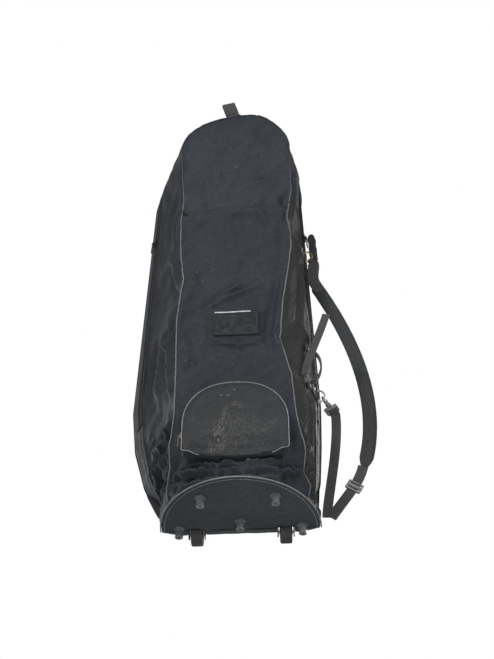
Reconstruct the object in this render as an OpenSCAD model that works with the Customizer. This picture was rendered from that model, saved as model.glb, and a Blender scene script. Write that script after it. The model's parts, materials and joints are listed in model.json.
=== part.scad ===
// Soft golf travel cover, standing on its feet.
// X runs across the case, the front faces -Y, the back faces +Y, and the ground is z = 0.
// The origin is the centre of the middle foot, where it meets the ground.

/* [Base] */
// Width of the base, at its widest
base_w = 384; // [360:2:410]
// Depth of the curved front part of the base, ahead of the rear seam
base_arc_depth = 237; // [220:1:250]
// How far the rear seam of the base sits behind the middle foot
rear_seam_y = 43; // [40:1:48]
// Width of the straight rear edge
rear_edge_w = 300; // [296:2:320]
// Depth of the bevelled rear strip
bevel_depth = 38; // [34:1:42]
// Rise of the bevelled rear strip
bevel_rise = 12; // [8:1:16]

/* [Feet] */
// Length of a foot, which sets the height of the base over the ground
foot_len = 24; // [22:1:30]
// Outer diameter of a foot
foot_d = 20; // [18:1:24]
// Distance between the two front feet
front_foot_gap = 176; // [160:2:190]
// How far the front feet stand ahead of the middle foot
front_foot_y = 111; // [100:1:120]
// Distance between the two rear corner feet
rear_foot_gap = 298; // [290:2:306]
// How far the corner feet stand behind the middle foot
rear_foot_y = 29; // [26:1:30]

/* [Wheels] */
// Wheel diameter
wheel_d = 56; // [52:1:56]
// Tread width
wheel_w = 30; // [26:1:32]
// Distance between the wheels' middles
wheel_gap = 216; // [206:2:220]
// How far the axles sit behind the middle foot
axle_y = 67; // [65:1:69]
// Axle diameter
axle_d = 6; // [5:0.5:7]

/* [Body] */
// Height of the body's top over the ground, without the handle
body_h = 1325; // [1240:5:1340]
// Width of the front panel
panel_w = 300; // [290:2:306]
// How far the crown of the hood leans to the right
hood_lean = 36; // [0:2:40]
// Depth of the back panel's face behind the middle foot
back_y = 81; // [81:1:84]
// Thickness of the lined fabric
cloth_t = 2.5; // [2:0.1:3]
// Height of the seam between front panel and yoke
yoke_z = 930; // [900:5:960]
// How high the rounded base shape turns into the straight body
blend_h = 150; // [120:5:180]
// Diameter of the piping cord
piping_d = 4; // [3:0.5:5]

/* [Zips] */
// Where the zip runs across the gusset, from 0 at the front to 1 at the back
zip_v = 0.86; // [0.84:0.01:0.87]
// Height of the two main sliders over the ground
slider_z = 955; // [600:5:1000]
// Length of a pull tab
pull_len = 34; // [26:1:40]

/* [Pockets] */
// Width of the front pocket
pocket_w = 250; // [230:2:256]
// Height of the front pocket
pocket_h = 216; // [200:2:220]
// Depth of the front pocket's gusset
pocket_depth = 22; // [16:1:26]
// Height of the pocket's bottom edge over the ground
pocket_z = 90; // [88:1:96]
// Width of the card pocket
card_w = 114; // [100:1:120]
// Height of the card pocket
card_h = 78; // [70:1:84]
// Height of the card pocket's middle over the ground
card_z = 520; // [500:5:560]

/* [Strap and handles] */
// Webbing width of the shoulder strap
web_w = 30; // [25:1:32]
// Webbing thickness
web_t = 1.8; // [1.5:0.1:2.2]
// Width of the shoulder pad
pad_w = 38; // [36:1:42]
// Thickness of the shoulder pad
pad_t = 11; // [9:0.5:12]
// Width of the handle webbing
handle_w = 36; // [30:1:38]
// How high the top loop stands
top_loop_h = 56; // [50:1:62]

/* [Hidden] */
$fn = 48;

gap = 0.3;                                  // clearance between neighbouring sewn pieces
half_base = base_w / 2;
rear_edge_y = rear_seam_y + bevel_depth;
cover_t = 2;                                // base fabric
board_t = 4;                                // stiff board over it
board_z = foot_len + cover_t + 0.2;
board_top = board_z + board_t;
cloth_z = foot_len + cover_t + 0.5;         // where the upright fabric starts
half_panel = panel_w / 2;
arch_r = half_panel;                        // the front panel ends in a round arch
arch_z = body_h - arch_r;
straight_z0 = 400;                          // the gusset's edges are straight between these heights
straight_z1 = 1100;
panel_y0 = -140;                            // the front face at those two heights
panel_y1 = -102;
seam_gap = cloth_t + 0.9;                   // the gusset starts this far behind the front panel's face
back_edge_y = back_y - 2;                   // the gusset ends just ahead of the back panel

// The upright body's back corners: the left side lies out further than the right.
left_back = [[26, -150], [90, -208], [150, -236], [280, -268], [straight_z0, -277], [straight_z1, -234]];
right_back = [[26, 150], [90, 190], [150, 194], [280, 202], [straight_z0, 205], [straight_z1, 176]];
panel_face = [[26, -182], [150, -162], [straight_z0, panel_y0], [straight_z1, panel_y1], [body_h, -78]];

feet_at = [
    [0, 0],
    for (side = [-1, 1]) [side * front_foot_gap / 2, -front_foot_y],
    for (side = [-1, 1]) [side * rear_foot_gap / 2, rear_foot_y]
];

function mix(a, b, t) = a + (b - a) * t;
function smooth(t) = let (c = max(0, min(1, t))) c * c * (3 - 2 * c);
function unit(v) = v / norm(v);
function bezier(p, t) =
    pow(1 - t, 3) * p[0] + 3 * t * pow(1 - t, 2) * p[1] + 3 * t * t * (1 - t) * p[2] + pow(t, 3) * p[3];
function curve(p, steps) = [for (i = [0:steps]) bezier(p, i / steps)];
function turned(v, axis, angle) =
    v * cos(angle) + cross(axis, v) * sin(angle) + axis * (axis * v) * (1 - cos(angle));

// ---- The base outline -------------------------------------------------------------------
// Depth of the front arc at x, pulled in by inset.
function arc_y(x, inset = 0) =
    rear_seam_y - (base_arc_depth - inset) * sqrt(max(0, 1 - pow(x / (half_base - inset), 2)));
function arc_points(inset, steps = 40) = [
    for (i = [0:steps]) let (a = 180 + 180 * i / steps)
        [(half_base - inset) * cos(a), rear_seam_y + (base_arc_depth - inset) * sin(a)]
];

module wheel_notches(z0, h) {
    for (side = [-1, 1])
        translate([side * wheel_gap / 2 - housing_w / 2 - gap, housing_y0 - gap, z0])
            cube([housing_w + 2 * gap, 2 * bevel_depth + 30, h]);
}

module foot_holes(r, z0, h) {
    for (p = feet_at) translate([p[0], p[1], z0]) cylinder(r = r, h = h);
}

// ---- Wheels, axles and housings -----------------------------------------------------------
axle_z = wheel_d / 2;
wheel_gap_r = 3;                            // air round the wheel
housing_wall = 3;
housing_w = wheel_w + 2 * (wheel_gap_r + housing_wall);
housing_y0 = axle_y - wheel_d / 2 - wheel_gap_r - housing_wall;
housing_top = axle_z + wheel_d / 2 + wheel_gap_r + housing_wall;
flange_len = 20;
flange_t = 2.5;
hub_r = wheel_d / 2 - 8;
axle_fit = 0.05;                            // running clearance of a hub on its axle

module tyre(side) {
    tread = wheel_d / 2;
    shoulder = 5;
    color([0.06, 0.06, 0.065])
        translate([side * wheel_gap / 2, axle_y, axle_z]) rotate([0, 90, 0])
            rotate_extrude() polygon([
                [hub_r + 0.05, -wheel_w / 2 + 2], [hub_r + 2, -wheel_w / 2],
                [tread - shoulder, -wheel_w / 2],
                for (i = [1:5]) [tread - shoulder + shoulder * sin(18 * i),
                                 -wheel_w / 2 + shoulder * (1 - cos(18 * i))],
                for (i = [0:4]) [tread - shoulder + shoulder * cos(18 * i),
                                 wheel_w / 2 - shoulder * (1 - sin(18 * i))],
                [tread - shoulder, wheel_w / 2],
                [hub_r + 2, wheel_w / 2], [hub_r + 0.05, wheel_w / 2 - 2]
            ]);
}

module hub(side) {
    web = 5;
    boss_r = 8;
    bore_r = axle_d / 2 + axle_fit;
    w = wheel_w / 2;
    color([0.10, 0.10, 0.11])
        translate([side * wheel_gap / 2, axle_y, axle_z]) rotate([0, 90, 0])
            rotate_extrude() polygon([
                [bore_r, -w - 1], [boss_r, -w - 1], [boss_r, -web / 2], [hub_r - 3, -web / 2],
                [hub_r - 3, -w + 2], [hub_r, -w + 2], [hub_r, w - 2], [hub_r - 3, w - 2],
                [hub_r - 3, web / 2], [boss_r, web / 2], [boss_r, w + 1], [bore_r, w + 1]
            ]);
}

module axles() {
    span = housing_w - 0.4;                 // ends just inside the housing's walls
    color([0.6, 0.6, 0.62])
        for (side = [-1, 1])
            translate([side * wheel_gap / 2 - span / 2, axle_y, axle_z]) rotate([0, 90, 0])
                cylinder(d = axle_d, h = span);
}

module housing(side) {
    boss_r = 8;
    depth = rear_edge_y - housing_y0;
    color([0.07, 0.07, 0.075])
        translate([side * wheel_gap / 2, 0, 0])
            difference() {
                union() {
                    translate([-housing_w / 2, housing_y0, board_top + gap])
                        cube([housing_w, depth, housing_top - board_top - gap]);
                    translate([-housing_w / 2, housing_y0, foot_len - 1])
                        cube([housing_w, depth - 8, housing_top - foot_len]);
                    translate([-housing_w / 2, axle_y, axle_z]) rotate([0, 90, 0])
                        cylinder(r = boss_r + 4, h = housing_w);
                    translate([-housing_w / 2, housing_y0 - flange_len, board_top + gap])
                        cube([housing_w, flange_len + 1, flange_t]);
                }
                translate([-wheel_w / 2 - wheel_gap_r, housing_y0 + housing_wall, -5])
                    cube([wheel_w + 2 * wheel_gap_r, 2 * depth, housing_top - housing_wall + 5]);
                translate([-housing_w, axle_y, axle_z]) rotate([0, 90, 0])
                    cylinder(d = axle_d + 0.06, h = 2 * housing_w);
                for (x = [-12, 12])
                    translate([x, housing_y0 - flange_len / 2, 0]) cylinder(r = 1.9, h = 60);
            }
}

module housing_screws() {
    color([0.55, 0.55, 0.58])
        for (side = [-1, 1], x = [-12, 12])
            translate([side * wheel_gap / 2 + x, housing_y0 - flange_len / 2, 0]) {
                translate([0, 0, foot_len + cover_t + 0.3])
                    cylinder(r = 1.75, h = board_top + gap + flange_t - foot_len - cover_t);
                translate([0, 0, board_top + gap + flange_t + 0.05]) cylinder(r = 3.6, h = 2.2);
            }
}

// ---- Base ---------------------------------------------------------------------------------
module base_cover() {
    color([0.20, 0.22, 0.24])
        difference() {
            translate([0, 0, foot_len]) linear_extrude(cover_t)
                polygon(arc_points(0));
            wheel_notches(0, 60);
            foot_holes(2.3, 0, 60);
        }
}

module base_board() {
    color([0.12, 0.12, 0.12])
        difference() {
            translate([0, 0, board_z]) linear_extrude(board_t)
                polygon(arc_points(10));
            wheel_notches(0, 60);
            foot_holes(2.3, 0, 60);
            for (side = [-1, 1], x = [-12, 12])
                translate([side * wheel_gap / 2 + x, housing_y0 - flange_len / 2, 0])
                    cylinder(r = 1.9, h = 60);
        }
}

module rear_bevel() {
    y0 = rear_seam_y + gap;
    color([0.18, 0.19, 0.20])
        difference() {
            intersection() {
                translate([-half_base, 0, 0]) rotate([90, 0, 90]) linear_extrude(base_w)
                    polygon([[y0, foot_len], [rear_edge_y, foot_len + bevel_rise],
                             [rear_edge_y, foot_len + bevel_rise + cover_t], [y0, foot_len + cover_t]]);
                linear_extrude(100)
                    polygon([[-half_base, y0], [half_base, y0],
                             [rear_edge_w / 2, rear_edge_y], [-rear_edge_w / 2, rear_edge_y]]);
            }
            wheel_notches(0, 60);
        }
}

// A cord of radius r along a path, closed at both ends.
module cord(path, r, sides = 10) {
    n = len(path);
    function along(i) = unit(path[min(i + 1, n - 1)] - path[max(i - 1, 0)]);
    function side_of(i) = let (d = along(i), ref = abs(d[1]) > 0.9 ? [1, 0, 0] : [0, 1, 0])
        unit(cross(d, ref));
    points = [
        for (i = [0:n - 1], k = [0:sides - 1])
            path[i] + r * turned(side_of(i), along(i), 360 * k / sides),
        path[0], path[n - 1]
    ];
    faces = [
        for (i = [0:n - 2], k = [0:sides - 1]) let (j = (k + 1) % sides)
            each [[i * sides + k, i * sides + j, (i + 1) * sides + j],
                  [i * sides + k, (i + 1) * sides + j, (i + 1) * sides + k]],
        for (k = [0:sides - 1]) let (j = (k + 1) % sides)
            each [[n * sides, j, k], [n * sides + 1, (n - 1) * sides + k, (n - 1) * sides + j]]
    ];
    polyhedron(points, [for (f = faces) [f[0], f[2], f[1]]]);
}

module base_piping() {
    out = piping_d / 2 + gap;
    color([0.60, 0.61, 0.62])
        cord([for (p = arc_points(-out, 36)) [p[0], p[1], foot_len + cover_t / 2]], piping_d / 2, 8);
}

// ---- The fabric body ------------------------------------------------------------------------
// A closed sheet between two equal grids of points. The outer grid runs upward by rows and to the
// right by columns as seen from outside; flip turns it over when it runs to the left.
module sheet(outer, inner, flip = false) {
    rows = len(outer);
    cols = len(outer[0]);
    n = rows * cols;
    function id(r, c) = r * cols + c;
    points = concat([for (row = outer) each row], [for (row = inner) each row]);
    skin = [
        for (r = [0:rows - 2], c = [0:cols - 2])
            each [[id(r, c), id(r + 1, c), id(r + 1, c + 1)], [id(r, c), id(r + 1, c + 1), id(r, c + 1)]]
    ];
    lining = [for (f = skin) [f[0] + n, f[2] + n, f[1] + n]];
    rim = concat(
        [for (c = [0:cols - 2]) each wall(id(0, c), id(0, c + 1), n)],
        [for (c = [0:cols - 2]) each wall(id(rows - 1, c + 1), id(rows - 1, c), n)],
        [for (r = [0:rows - 2]) each wall(id(r + 1, 0), id(r, 0), n)],
        [for (r = [0:rows - 2]) each wall(id(r, cols - 1), id(r + 1, cols - 1), n)]
    );
    faces = concat(skin, lining, rim);
    polyhedron(points, flip ? [for (f = faces) [f[0], f[2], f[1]]] : faces);
}
function wall(a, b, n) = [[a, b, b + n], [a, b + n, a + n]];

function half_width(z) = z > arch_z
    ? arch_r * sqrt(max(0, 1 - pow((z - arch_z) / arch_r, 2)))
    : half_panel + 15 * (1 - smooth((z - cloth_z) / (1.6 * blend_h)));
function blend_at(z) = smooth((z - cloth_z) / blend_h);
// Front face of the body at x and z: the base arc below, the flat panel above.
function front_y(x, z) =
    mix(arc_y(x), lookup(z, panel_face) + 10 * pow(x / half_panel, 4), blend_at(z));
// The crown leans over as one nears the top of the arch; t runs from 0 at its foot to 1 at the top.
function lean_at(t) = hood_lean * pow(max(0, t), 6);
function front_point(s, z, lift = 0) = let (x = s * half_width(z))
    [x + lean_at((z - arch_z) / arch_r), front_y(x, z) - lift, z];

function front_grid(z0, z1, rows, lift) = [
    for (i = [0:rows]) let (z = mix(z0, z1, i / rows))
        [for (j = [-6:6]) front_point(j / 6, z, lift)]
];

module front_panel() {
    color([0.22, 0.23, 0.25])
        sheet(front_grid(cloth_z, yoke_z - gap, 22, 0), front_grid(cloth_z, yoke_z - gap, 22, -cloth_t));
}

// Rows of the yoke close up towards the top of the arch.
function yoke_z_at(i, rows) = mix(yoke_z + gap, body_h - 2, sin(90 * i / rows));
function yoke_grid(rows, lift) = [
    for (i = [0:rows]) [for (j = [-6:6]) front_point(j / 6, yoke_z_at(i, rows), lift)]
];
module yoke_panel() {
    color([0.21, 0.22, 0.24]) sheet(yoke_grid(14, 0), yoke_grid(14, -cloth_t));
}

// The gusset's path: up the left side, over the arch and down the right side.
side_rows = [cloth_z, 60, 90, 120, 150, 210, 280, straight_z0, 575, 750, 925, straight_z1];
function side_front(side, z, v) = let (x = side * half_width(z)) [x, front_y(x, z) + seam_gap, z];
function back_x(side, z) = lookup(z, side < 0 ? left_back : right_back);
// The same strip at the base follows the base outline round to its rear corner.
function base_rim(side, v, z) = let (
        start = asin(half_width(cloth_z) / half_base),
        corner = 0.72,
        a = mix(start, 90, min(1, v / corner)),
        w = max(0, (v - corner) / (1 - corner)))
    v < corner
        ? [side * half_base * sin(a), rear_seam_y - base_arc_depth * cos(a) + seam_gap * (1 - v / corner), z]
        : [side * mix(half_base, rear_edge_w / 2, w), mix(rear_seam_y, back_edge_y, w), z];
// The cloth's lower edge climbs with the bevel behind the rear seam.
function rim_rise(v) = bevel_rise * max(0, (v - 0.72) / 0.28);
function side_point(side, z, v) =
    mix(base_rim(side, v, z + rim_rise(v) * (1 - blend_at(z))),
        mix(side_front(side, z, v), [back_x(side, z), back_edge_y, z], v), blend_at(z));
// Over the arch, angle 180 is the left shoulder and 0 the right one.
arch_front_r = arch_r;
back_arch_x = (lookup(straight_z1, left_back) + lookup(straight_z1, right_back)) / 2;
back_arch_w = (lookup(straight_z1, right_back) - lookup(straight_z1, left_back)) / 2;
function arch_point(a, v) = let (
        zf = arch_z + arch_front_r * sin(a),
        front = [arch_front_r * cos(a) + lean_at(sin(a)), lookup(zf, panel_face) + 10 + seam_gap, zf],
        back = [back_arch_x * (1 - sin(a)) + back_arch_w * cos(a) + lean_at(sin(a)) / 2, back_edge_y,
                straight_z1 + (body_h - 14 - straight_z1) * sin(a)])
    mix(front, back, v) + [0, 0, 10 * sin(a) * sin(180 * v)];
// Outward normals of the two surfaces, and points lifted off them.
function side_normal(side, z, v) =
    side * unit(cross(side_point(side, z, v + 0.02) - side_point(side, z, v - 0.02),
                      side_point(side, z + 4, v) - side_point(side, z - 4, v)));
function arch_normal(a, v) =
    unit(cross(arch_point(a - 3, v) - arch_point(a + 3, v),
               arch_point(a, v + 0.02) - arch_point(a, v - 0.02)));
function side_lifted(side, z, v, lift) = side_point(side, z, v) + lift * side_normal(side, z, v);
function arch_lifted(a, v, lift) = arch_point(a, v) + lift * arch_normal(a, v);

function side_grid(side, v0, v1, lift, cols = 5) = [
    for (z = side_rows) [for (j = [0:cols]) side_lifted(side, z, mix(v0, v1, j / cols), lift)],
    [for (j = [0:cols]) arch_lifted(side < 0 ? 179.6 : 0.4, mix(v0, v1, j / cols), lift)]
];
function arch_grid(v0, v1, lift, a0 = 180, a1 = 0, cols = 5, rows = 14) = [
    for (i = [0:rows]) let (a = mix(a0, a1, i / rows))
        [for (j = [0:cols]) arch_lifted(a, mix(v0, v1, j / cols), lift)]
];

zip_half = 0.035;                           // half the opening under the zip, as a share of the gusset
module gusset(side) {
    color([0.23, 0.24, 0.26])
        sheet(side_grid(side, 0, zip_v - zip_half, 0), side_grid(side, 0, zip_v - zip_half, -cloth_t),
              flip = side < 0);
}

module top_gusset() {
    color([0.21, 0.22, 0.24])
        sheet(arch_grid(0, zip_v - zip_half, 0, 179.4, 0.6),
              arch_grid(0, zip_v - zip_half, -cloth_t, 179.4, 0.6), flip = true);
}

// One strip from the left foot of the zip, over the arch, to its right foot.
zip_rows = [330, for (k = [0:8]) mix(straight_z0, straight_z1, k / 8)];
function zip_strip(v0, v1, lift) = concat(
    [for (z = zip_rows) [for (v = [v0, v1]) side_lifted(-1, z, v, lift)]],
    [for (i = [1:35]) [for (v = [v0, v1]) arch_lifted(180 - 5 * i, v, lift)]],
    [for (k = [len(zip_rows) - 1:-1:0]) [for (v = [v0, v1]) side_lifted(1, zip_rows[k], v, lift)]]
);

module back_flange() {
    v0 = zip_v + zip_half;
    rows = [cloth_z, 60, 90, 120, 150, 210, 280];
    function strip(lift) = concat(
        [for (z = rows) [for (v = [v0, 1]) side_lifted(-1, z, v, lift)]],
        zip_strip(v0, 1, lift),
        [for (k = [len(rows) - 1:-1:0]) [for (v = [v0, 1]) side_lifted(1, rows[k], v, lift)]]
    );
    color([0.20, 0.21, 0.22]) sheet(strip(0), strip(-cloth_t), flip = true);
}

module back_panel() {
    outline = concat(
        [for (z = [cloth_z + bevel_rise + 1, 60, 90, 120, 150, 210, 280, straight_z0, straight_z1])
            [back_x(-1, z), z]],
        [for (i = [1:17]) let (p = arch_point(180 - 10 * i, 1)) [p[0], p[2]]],
        [for (z = [straight_z1, straight_z0, 280, 210, 150, 120, 90, 60, cloth_z + bevel_rise + 1])
            [back_x(1, z), z]]
    );
    color([0.19, 0.20, 0.21])
        difference() {
            translate([0, back_y + cloth_t, 0]) rotate([90, 0, 0]) linear_extrude(cloth_t) polygon(outline);
            wheel_notches(0, housing_top + gap);
        }
}

module panel_piping() {
    out = piping_d / 2 + gap;
    function edge(side, z) = front_point(side, z) + [side * out, -out, 0];
    up = [40, 60, 80, 110, 140, 180, 230, 300, 400, 600, 800, 1000, arch_z];
    path = concat(
        [for (z = up) edge(-1, z)],
        [for (i = [1:35]) let (a = 180 - 5 * i, z = arch_z + arch_r * sin(a))
            [(arch_r + out) * cos(a) + lean_at(sin(a)), lookup(z, panel_face) + 10 - out,
             arch_z + (arch_r + out) * sin(a)]],
        [for (k = [len(up) - 1:-1:0]) edge(1, up[k])]
    );
    color([0.60, 0.61, 0.62]) cord(path, piping_d / 2, 8);
}

module hood_padding() {
    pad = 8;
    lift = cloth_t + 2.5;
    color([0.16, 0.16, 0.17])
        sheet(arch_grid(0.08, 0.76, -lift, 165, 15), arch_grid(0.08, 0.76, -lift - pad, 165, 15),
              flip = true);
}

// ---- Main zip -------------------------------------------------------------------------------
tape_share = 0.065;                         // half the tape's width, as a share of the gusset
teeth_share = 0.018;                        // half the teeth's width, likewise
tape_lift = 1.1;
tape_t = 0.9;
teeth_t = 2.2;
teeth_top = tape_lift + tape_t + gap + teeth_t;

module main_zip_tape() {
    color([0.10, 0.10, 0.11])
        sheet(zip_strip(zip_v - tape_share, zip_v + tape_share, tape_lift + tape_t),
              zip_strip(zip_v - tape_share, zip_v + tape_share, tape_lift), flip = true);
}

module main_zip_teeth() {
    color([0.08, 0.08, 0.09])
        sheet(zip_strip(zip_v - teeth_share, zip_v + teeth_share, teeth_top),
              zip_strip(zip_v - teeth_share, zip_v + teeth_share, teeth_top - teeth_t), flip = true);
}

// The zip's straight run on one side.
function track(side, z) = side_point(side, z, zip_v);
function track_dir(side) = unit(track(side, straight_z1) - track(side, straight_z0));
function track_at(side, z) =
    let (p = track(side, straight_z0), d = track_dir(side)) p + d * (z - straight_z0) / d[2];
function across(side) = unit(side_point(side, 750, 1) - side_point(side, 750, 0.5));

function outward(side) = let (a = across(side)) [a[1] * side, -a[0] * side, 0];

// Puts children on the track: x out of the bag, z up the track.
module on_track(side, z) {
    d = track_dir(side);
    n = outward(side);
    translate(track_at(side, z))
        rotate([-asin(d[1]), asin(d[0]), 0])
            rotate([0, 0, atan2(n[1], n[0])])
                children();
}

slider_w = 13;
slider_len = 20;
slider_x0 = teeth_top + 0.9;                // underside of the slider, clear of the teeth
slider_t = 2.4;
pin_r = 1.1;
pin_x = slider_x0 + slider_t + 2.8;

module slider_shape() {
    rail_t = 1.2;
    lug_t = 1.8;
    translate([slider_x0, -slider_w / 2, -slider_len / 2]) cube([slider_t, slider_w, slider_len]);
    for (s = [-1, 1]) {
        translate([slider_x0 - 2, s * (slider_w - rail_t) / 2 - rail_t / 2, -slider_len / 2])
            cube([2.5, rail_t, slider_len]);
        translate([slider_x0 + slider_t - 0.5, s * 3.9 - lug_t / 2, -3])
            cube([pin_x + 2 - slider_x0 - slider_t + 0.5, lug_t, 6]);
    }
    translate([pin_x, 0, 0]) rotate([90, 0, 0]) cylinder(r = pin_r, h = 8.5, center = true);
}

module pull_shape() {
    w = 5.4;
    t = 2.2;
    eye = 2.4;
    translate([pin_x, 0, 0]) difference() {
        union() {
            rotate([90, 0, 0]) cylinder(r = eye, h = w, center = true);
            translate([-0.2, -w / 2, -pull_len * 0.4]) cube([t, w, pull_len * 0.4]);
            translate([-0.2, -5, -pull_len]) cube([t, 10, pull_len * 0.65]);
        }
        rotate([90, 0, 0]) cylinder(r = pin_r + 0.06, h = 30, center = true);
        translate([-5, -2, -pull_len + 4]) cube([10, 4, 8]);
    }
}

module zip_slider(side) {
    color([0.30, 0.28, 0.24]) on_track(side, slider_z) slider_shape();
}
module zip_pull(side) {
    color([0.34, 0.31, 0.26]) on_track(side, slider_z) pull_shape();
}

// ---- Front pocket -----------------------------------------------------------------------------
pocket_tilt = 9.2;                          // the pocket leans back with the panel behind it
pocket_y = -186.5;
module on_pocket() {
    translate([0, pocket_y, pocket_z]) rotate([-pocket_tilt, 0, 0]) children();
}
// A domed outline: straight sides that close in an arch, inset all round.
function pocket_outline(inset) = let (w = pocket_w / 2 - inset, h = pocket_h - inset)
    concat([[-w, inset], [w, inset]],
           [for (i = [0:12]) let (a = 90 * i / 12)
               [w * pow(cos(a), 0.75), h * 0.45 + h * 0.55 * pow(sin(a), 0.85)]],
           [for (i = [11:-1:0]) let (a = 90 * i / 12)
               [-w * pow(cos(a), 0.75), h * 0.45 + h * 0.55 * pow(sin(a), 0.85)]]);
module pocket_slab(inset, y0, y1) {
    translate([0, y1, 0]) rotate([90, 0, 0]) linear_extrude(y1 - y0) polygon(pocket_outline(inset));
}

module front_pocket_face() {
    color([0.24, 0.25, 0.26])
        on_pocket() pocket_slab(3, -pocket_depth - cloth_t, -pocket_depth);
}
module front_pocket_gusset() {
    color([0.22, 0.23, 0.24])
        on_pocket() difference() {
            pocket_slab(0, -pocket_depth + gap, 0);
            pocket_slab(cloth_t, -pocket_depth, 1);
        }
}
module front_pocket_piping() {
    y = -pocket_depth - 1.6;
    w = pocket_outline(0);
    color([0.60, 0.61, 0.62])
        on_pocket() cord([for (i = [1:len(w) - 1]) [w[i][0], y, w[i][1]]], piping_d / 2 - 0.5, 8);
}

// The pocket's zip follows its gusset over the arch; its slider runs on the straight left side.
pocket_zip_y = -pocket_depth / 2;
module pocket_zip() {
    color([0.09, 0.09, 0.10])
        on_pocket() difference() {
            translate([0, pocket_zip_y + 2, 0]) rotate([90, 0, 0]) linear_extrude(4)
                polygon(pocket_outline(-2));
            translate([0, pocket_zip_y + 3, 0]) rotate([90, 0, 0]) linear_extrude(6)
                polygon(pocket_outline(-gap));
            translate([-300, -100, -10]) cube([600, 200, 14]);
        }
}

module on_pocket_track() {
    on_pocket() translate([-pocket_w / 2 + 2.2, pocket_zip_y, pocket_h * 0.24])
        rotate([0, 0, 180]) children();
}
module pocket_slider() {
    color([0.30, 0.28, 0.24]) on_pocket_track() slider_shape();
}
module pocket_pull() {
    color([0.34, 0.31, 0.26]) on_pocket_track() pull_shape();
}

// ---- Card pocket ------------------------------------------------------------------------------
panel_lean = atan2(panel_y1 - panel_y0, straight_z1 - straight_z0);
module on_panel(z, lift) {
    translate([0, lookup(z, panel_face) - lift, z]) rotate([-panel_lean, 0, 0]) children();
}
card_t = 1.2;
card_border = 7;
module card_pocket() {
    color([0.14, 0.15, 0.17])
        on_panel(card_z, 0.5) difference() {
            translate([-card_w / 2, -card_t, -card_h / 2]) cube([card_w, card_t, card_h]);
            translate([-card_w / 2 + card_border, -card_t - 1, -card_h / 2 + card_border])
                cube([card_w - 2 * card_border, card_t + 2, card_h - 2 * card_border]);
        }
}
module card_window() {
    inner = card_border + 0.2;
    color([0.5, 0.55, 0.6, 0.4])
        on_panel(card_z, 0.5)
            translate([-card_w / 2 + inner, -card_t, -card_h / 2 + inner])
                cube([card_w - 2 * inner, 0.5, card_h - 2 * inner]);
}
module card_pocket_binding() {
    color([0.75, 0.76, 0.78])
        on_panel(card_z, 0.5)
            translate([-card_w / 2 + 3, -card_t - 1.5, card_h / 2 - 6]) cube([card_w * 0.8, 1.3, 5]);
}

// ---- Webbing ------------------------------------------------------------------------------------
// A flat band along a path. Each point has its own width direction.
module band(path, wide, w, t) {
    n = len(path);
    function along(i) = unit(path[min(i + 1, n - 1)] - path[max(i - 1, 0)]);
    function thick(i) = unit(cross(wide[i], along(i)));
    front = [for (i = [0:n - 1]) [for (s = [-1, 1]) path[i] + s * wide[i] * w / 2 + thick(i) * t / 2]];
    rear = [for (i = [0:n - 1]) [for (s = [-1, 1]) path[i] + s * wide[i] * w / 2 - thick(i) * t / 2]];
    sheet(front, rear);
}
// Width directions for a band that lies flat in an upright plane facing the front.
function flat_wide(path) = let (n = len(path))
    [for (i = [0:n - 1]) unit(cross([0, 1, 0], path[min(i + 1, n - 1)] - path[max(i - 1, 0)]))];

// The top loop stands on the left slope of the hood and leans over with it.
loop_at_top = [-6, lookup(body_h, panel_face) + 22, body_h + 4.5];
loop_tilt = 16;
loop_half = 7;
module on_loop() { translate(loop_at_top) rotate([0, -loop_tilt, 0]) children(); }
module top_loop() {
    foot = 6.5;
    rise = top_loop_h - loop_half;
    path = concat(
        [[0, -loop_half, foot], [0, -loop_half, rise * 0.6]],
        [for (i = [0:6]) let (a = 180 - 30 * i) [0, loop_half * cos(a), rise + loop_half * sin(a)]],
        [[0, loop_half, rise * 0.6], [0, loop_half, foot]]
    );
    color([0.20, 0.20, 0.20]) on_loop() band(path, [for (p = path) [1, 0, 0]], handle_w, web_t);
}
module top_loop_anchor() {
    color([0.19, 0.19, 0.19])
        on_loop() translate([-handle_w / 2, -11, -5.5]) cube([handle_w, 22, web_t]);
}

// The side handle: a loop that stands off the right gusset.
handle_v = 0.42;
handle_z0 = 396;
handle_z1 = 492;
function handle_foot(z) = side_point(1, z, handle_v);
handle_root = 9;                            // the loop turns about a line this far off the gusset
handle_out = 30;
module side_handle() {
    a = handle_foot(handle_z0) + [handle_root, 0, 0];
    b = handle_foot(handle_z1) + [handle_root, 0, 0];
    reach = [handle_out * 1.3, 0, 4];
    path = curve([b, b + reach, a + reach, a], 12);
    color([0.15, 0.15, 0.16]) band(path, [for (p = path) [0, 1, 0]], 14, 4);
}
module side_handle_anchors() {
    color([0.20, 0.20, 0.20])
        for (end = [[handle_z0, -1], [handle_z1, 1]]) let (z = end[0] + 11.3 * end[1])
            translate(handle_foot(z)) rotate([0, 0, -12]) {
                translate([1.4, -12, -9]) cube([web_t, 24, 18]);
                translate([1.4 + web_t - 0.1, -7, -9]) cube([handle_root - 1.4, 14, 18]);
            }
}

// ---- Shoulder strap -------------------------------------------------------------------------------
strap_y = 35;
pivot_off = 6;                              // how far the swing axis stands off the gusset
function gusset_x(z) = let (v = (strap_y - lookup(z, panel_face)) / (back_edge_y - lookup(z, panel_face)))
    mix(half_width(z), back_x(1, z), v);
upper_pivot = [gusset_x(872) + pivot_off, strap_y, 872];
lower_pivot = [gusset_x(404) + pivot_off, strap_y, 404];
swing_axis = unit(upper_pivot - lower_pivot);
swing_lean = atan2(swing_axis[0], swing_axis[2]);
wire_r = 2;
ring_bar = 36;
ring_r = 18;

// Puts children on the swing axis: z up the axis, x away from the bag.
module on_pivot(p) { translate(p) rotate([0, swing_lean, 0]) children(); }

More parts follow.
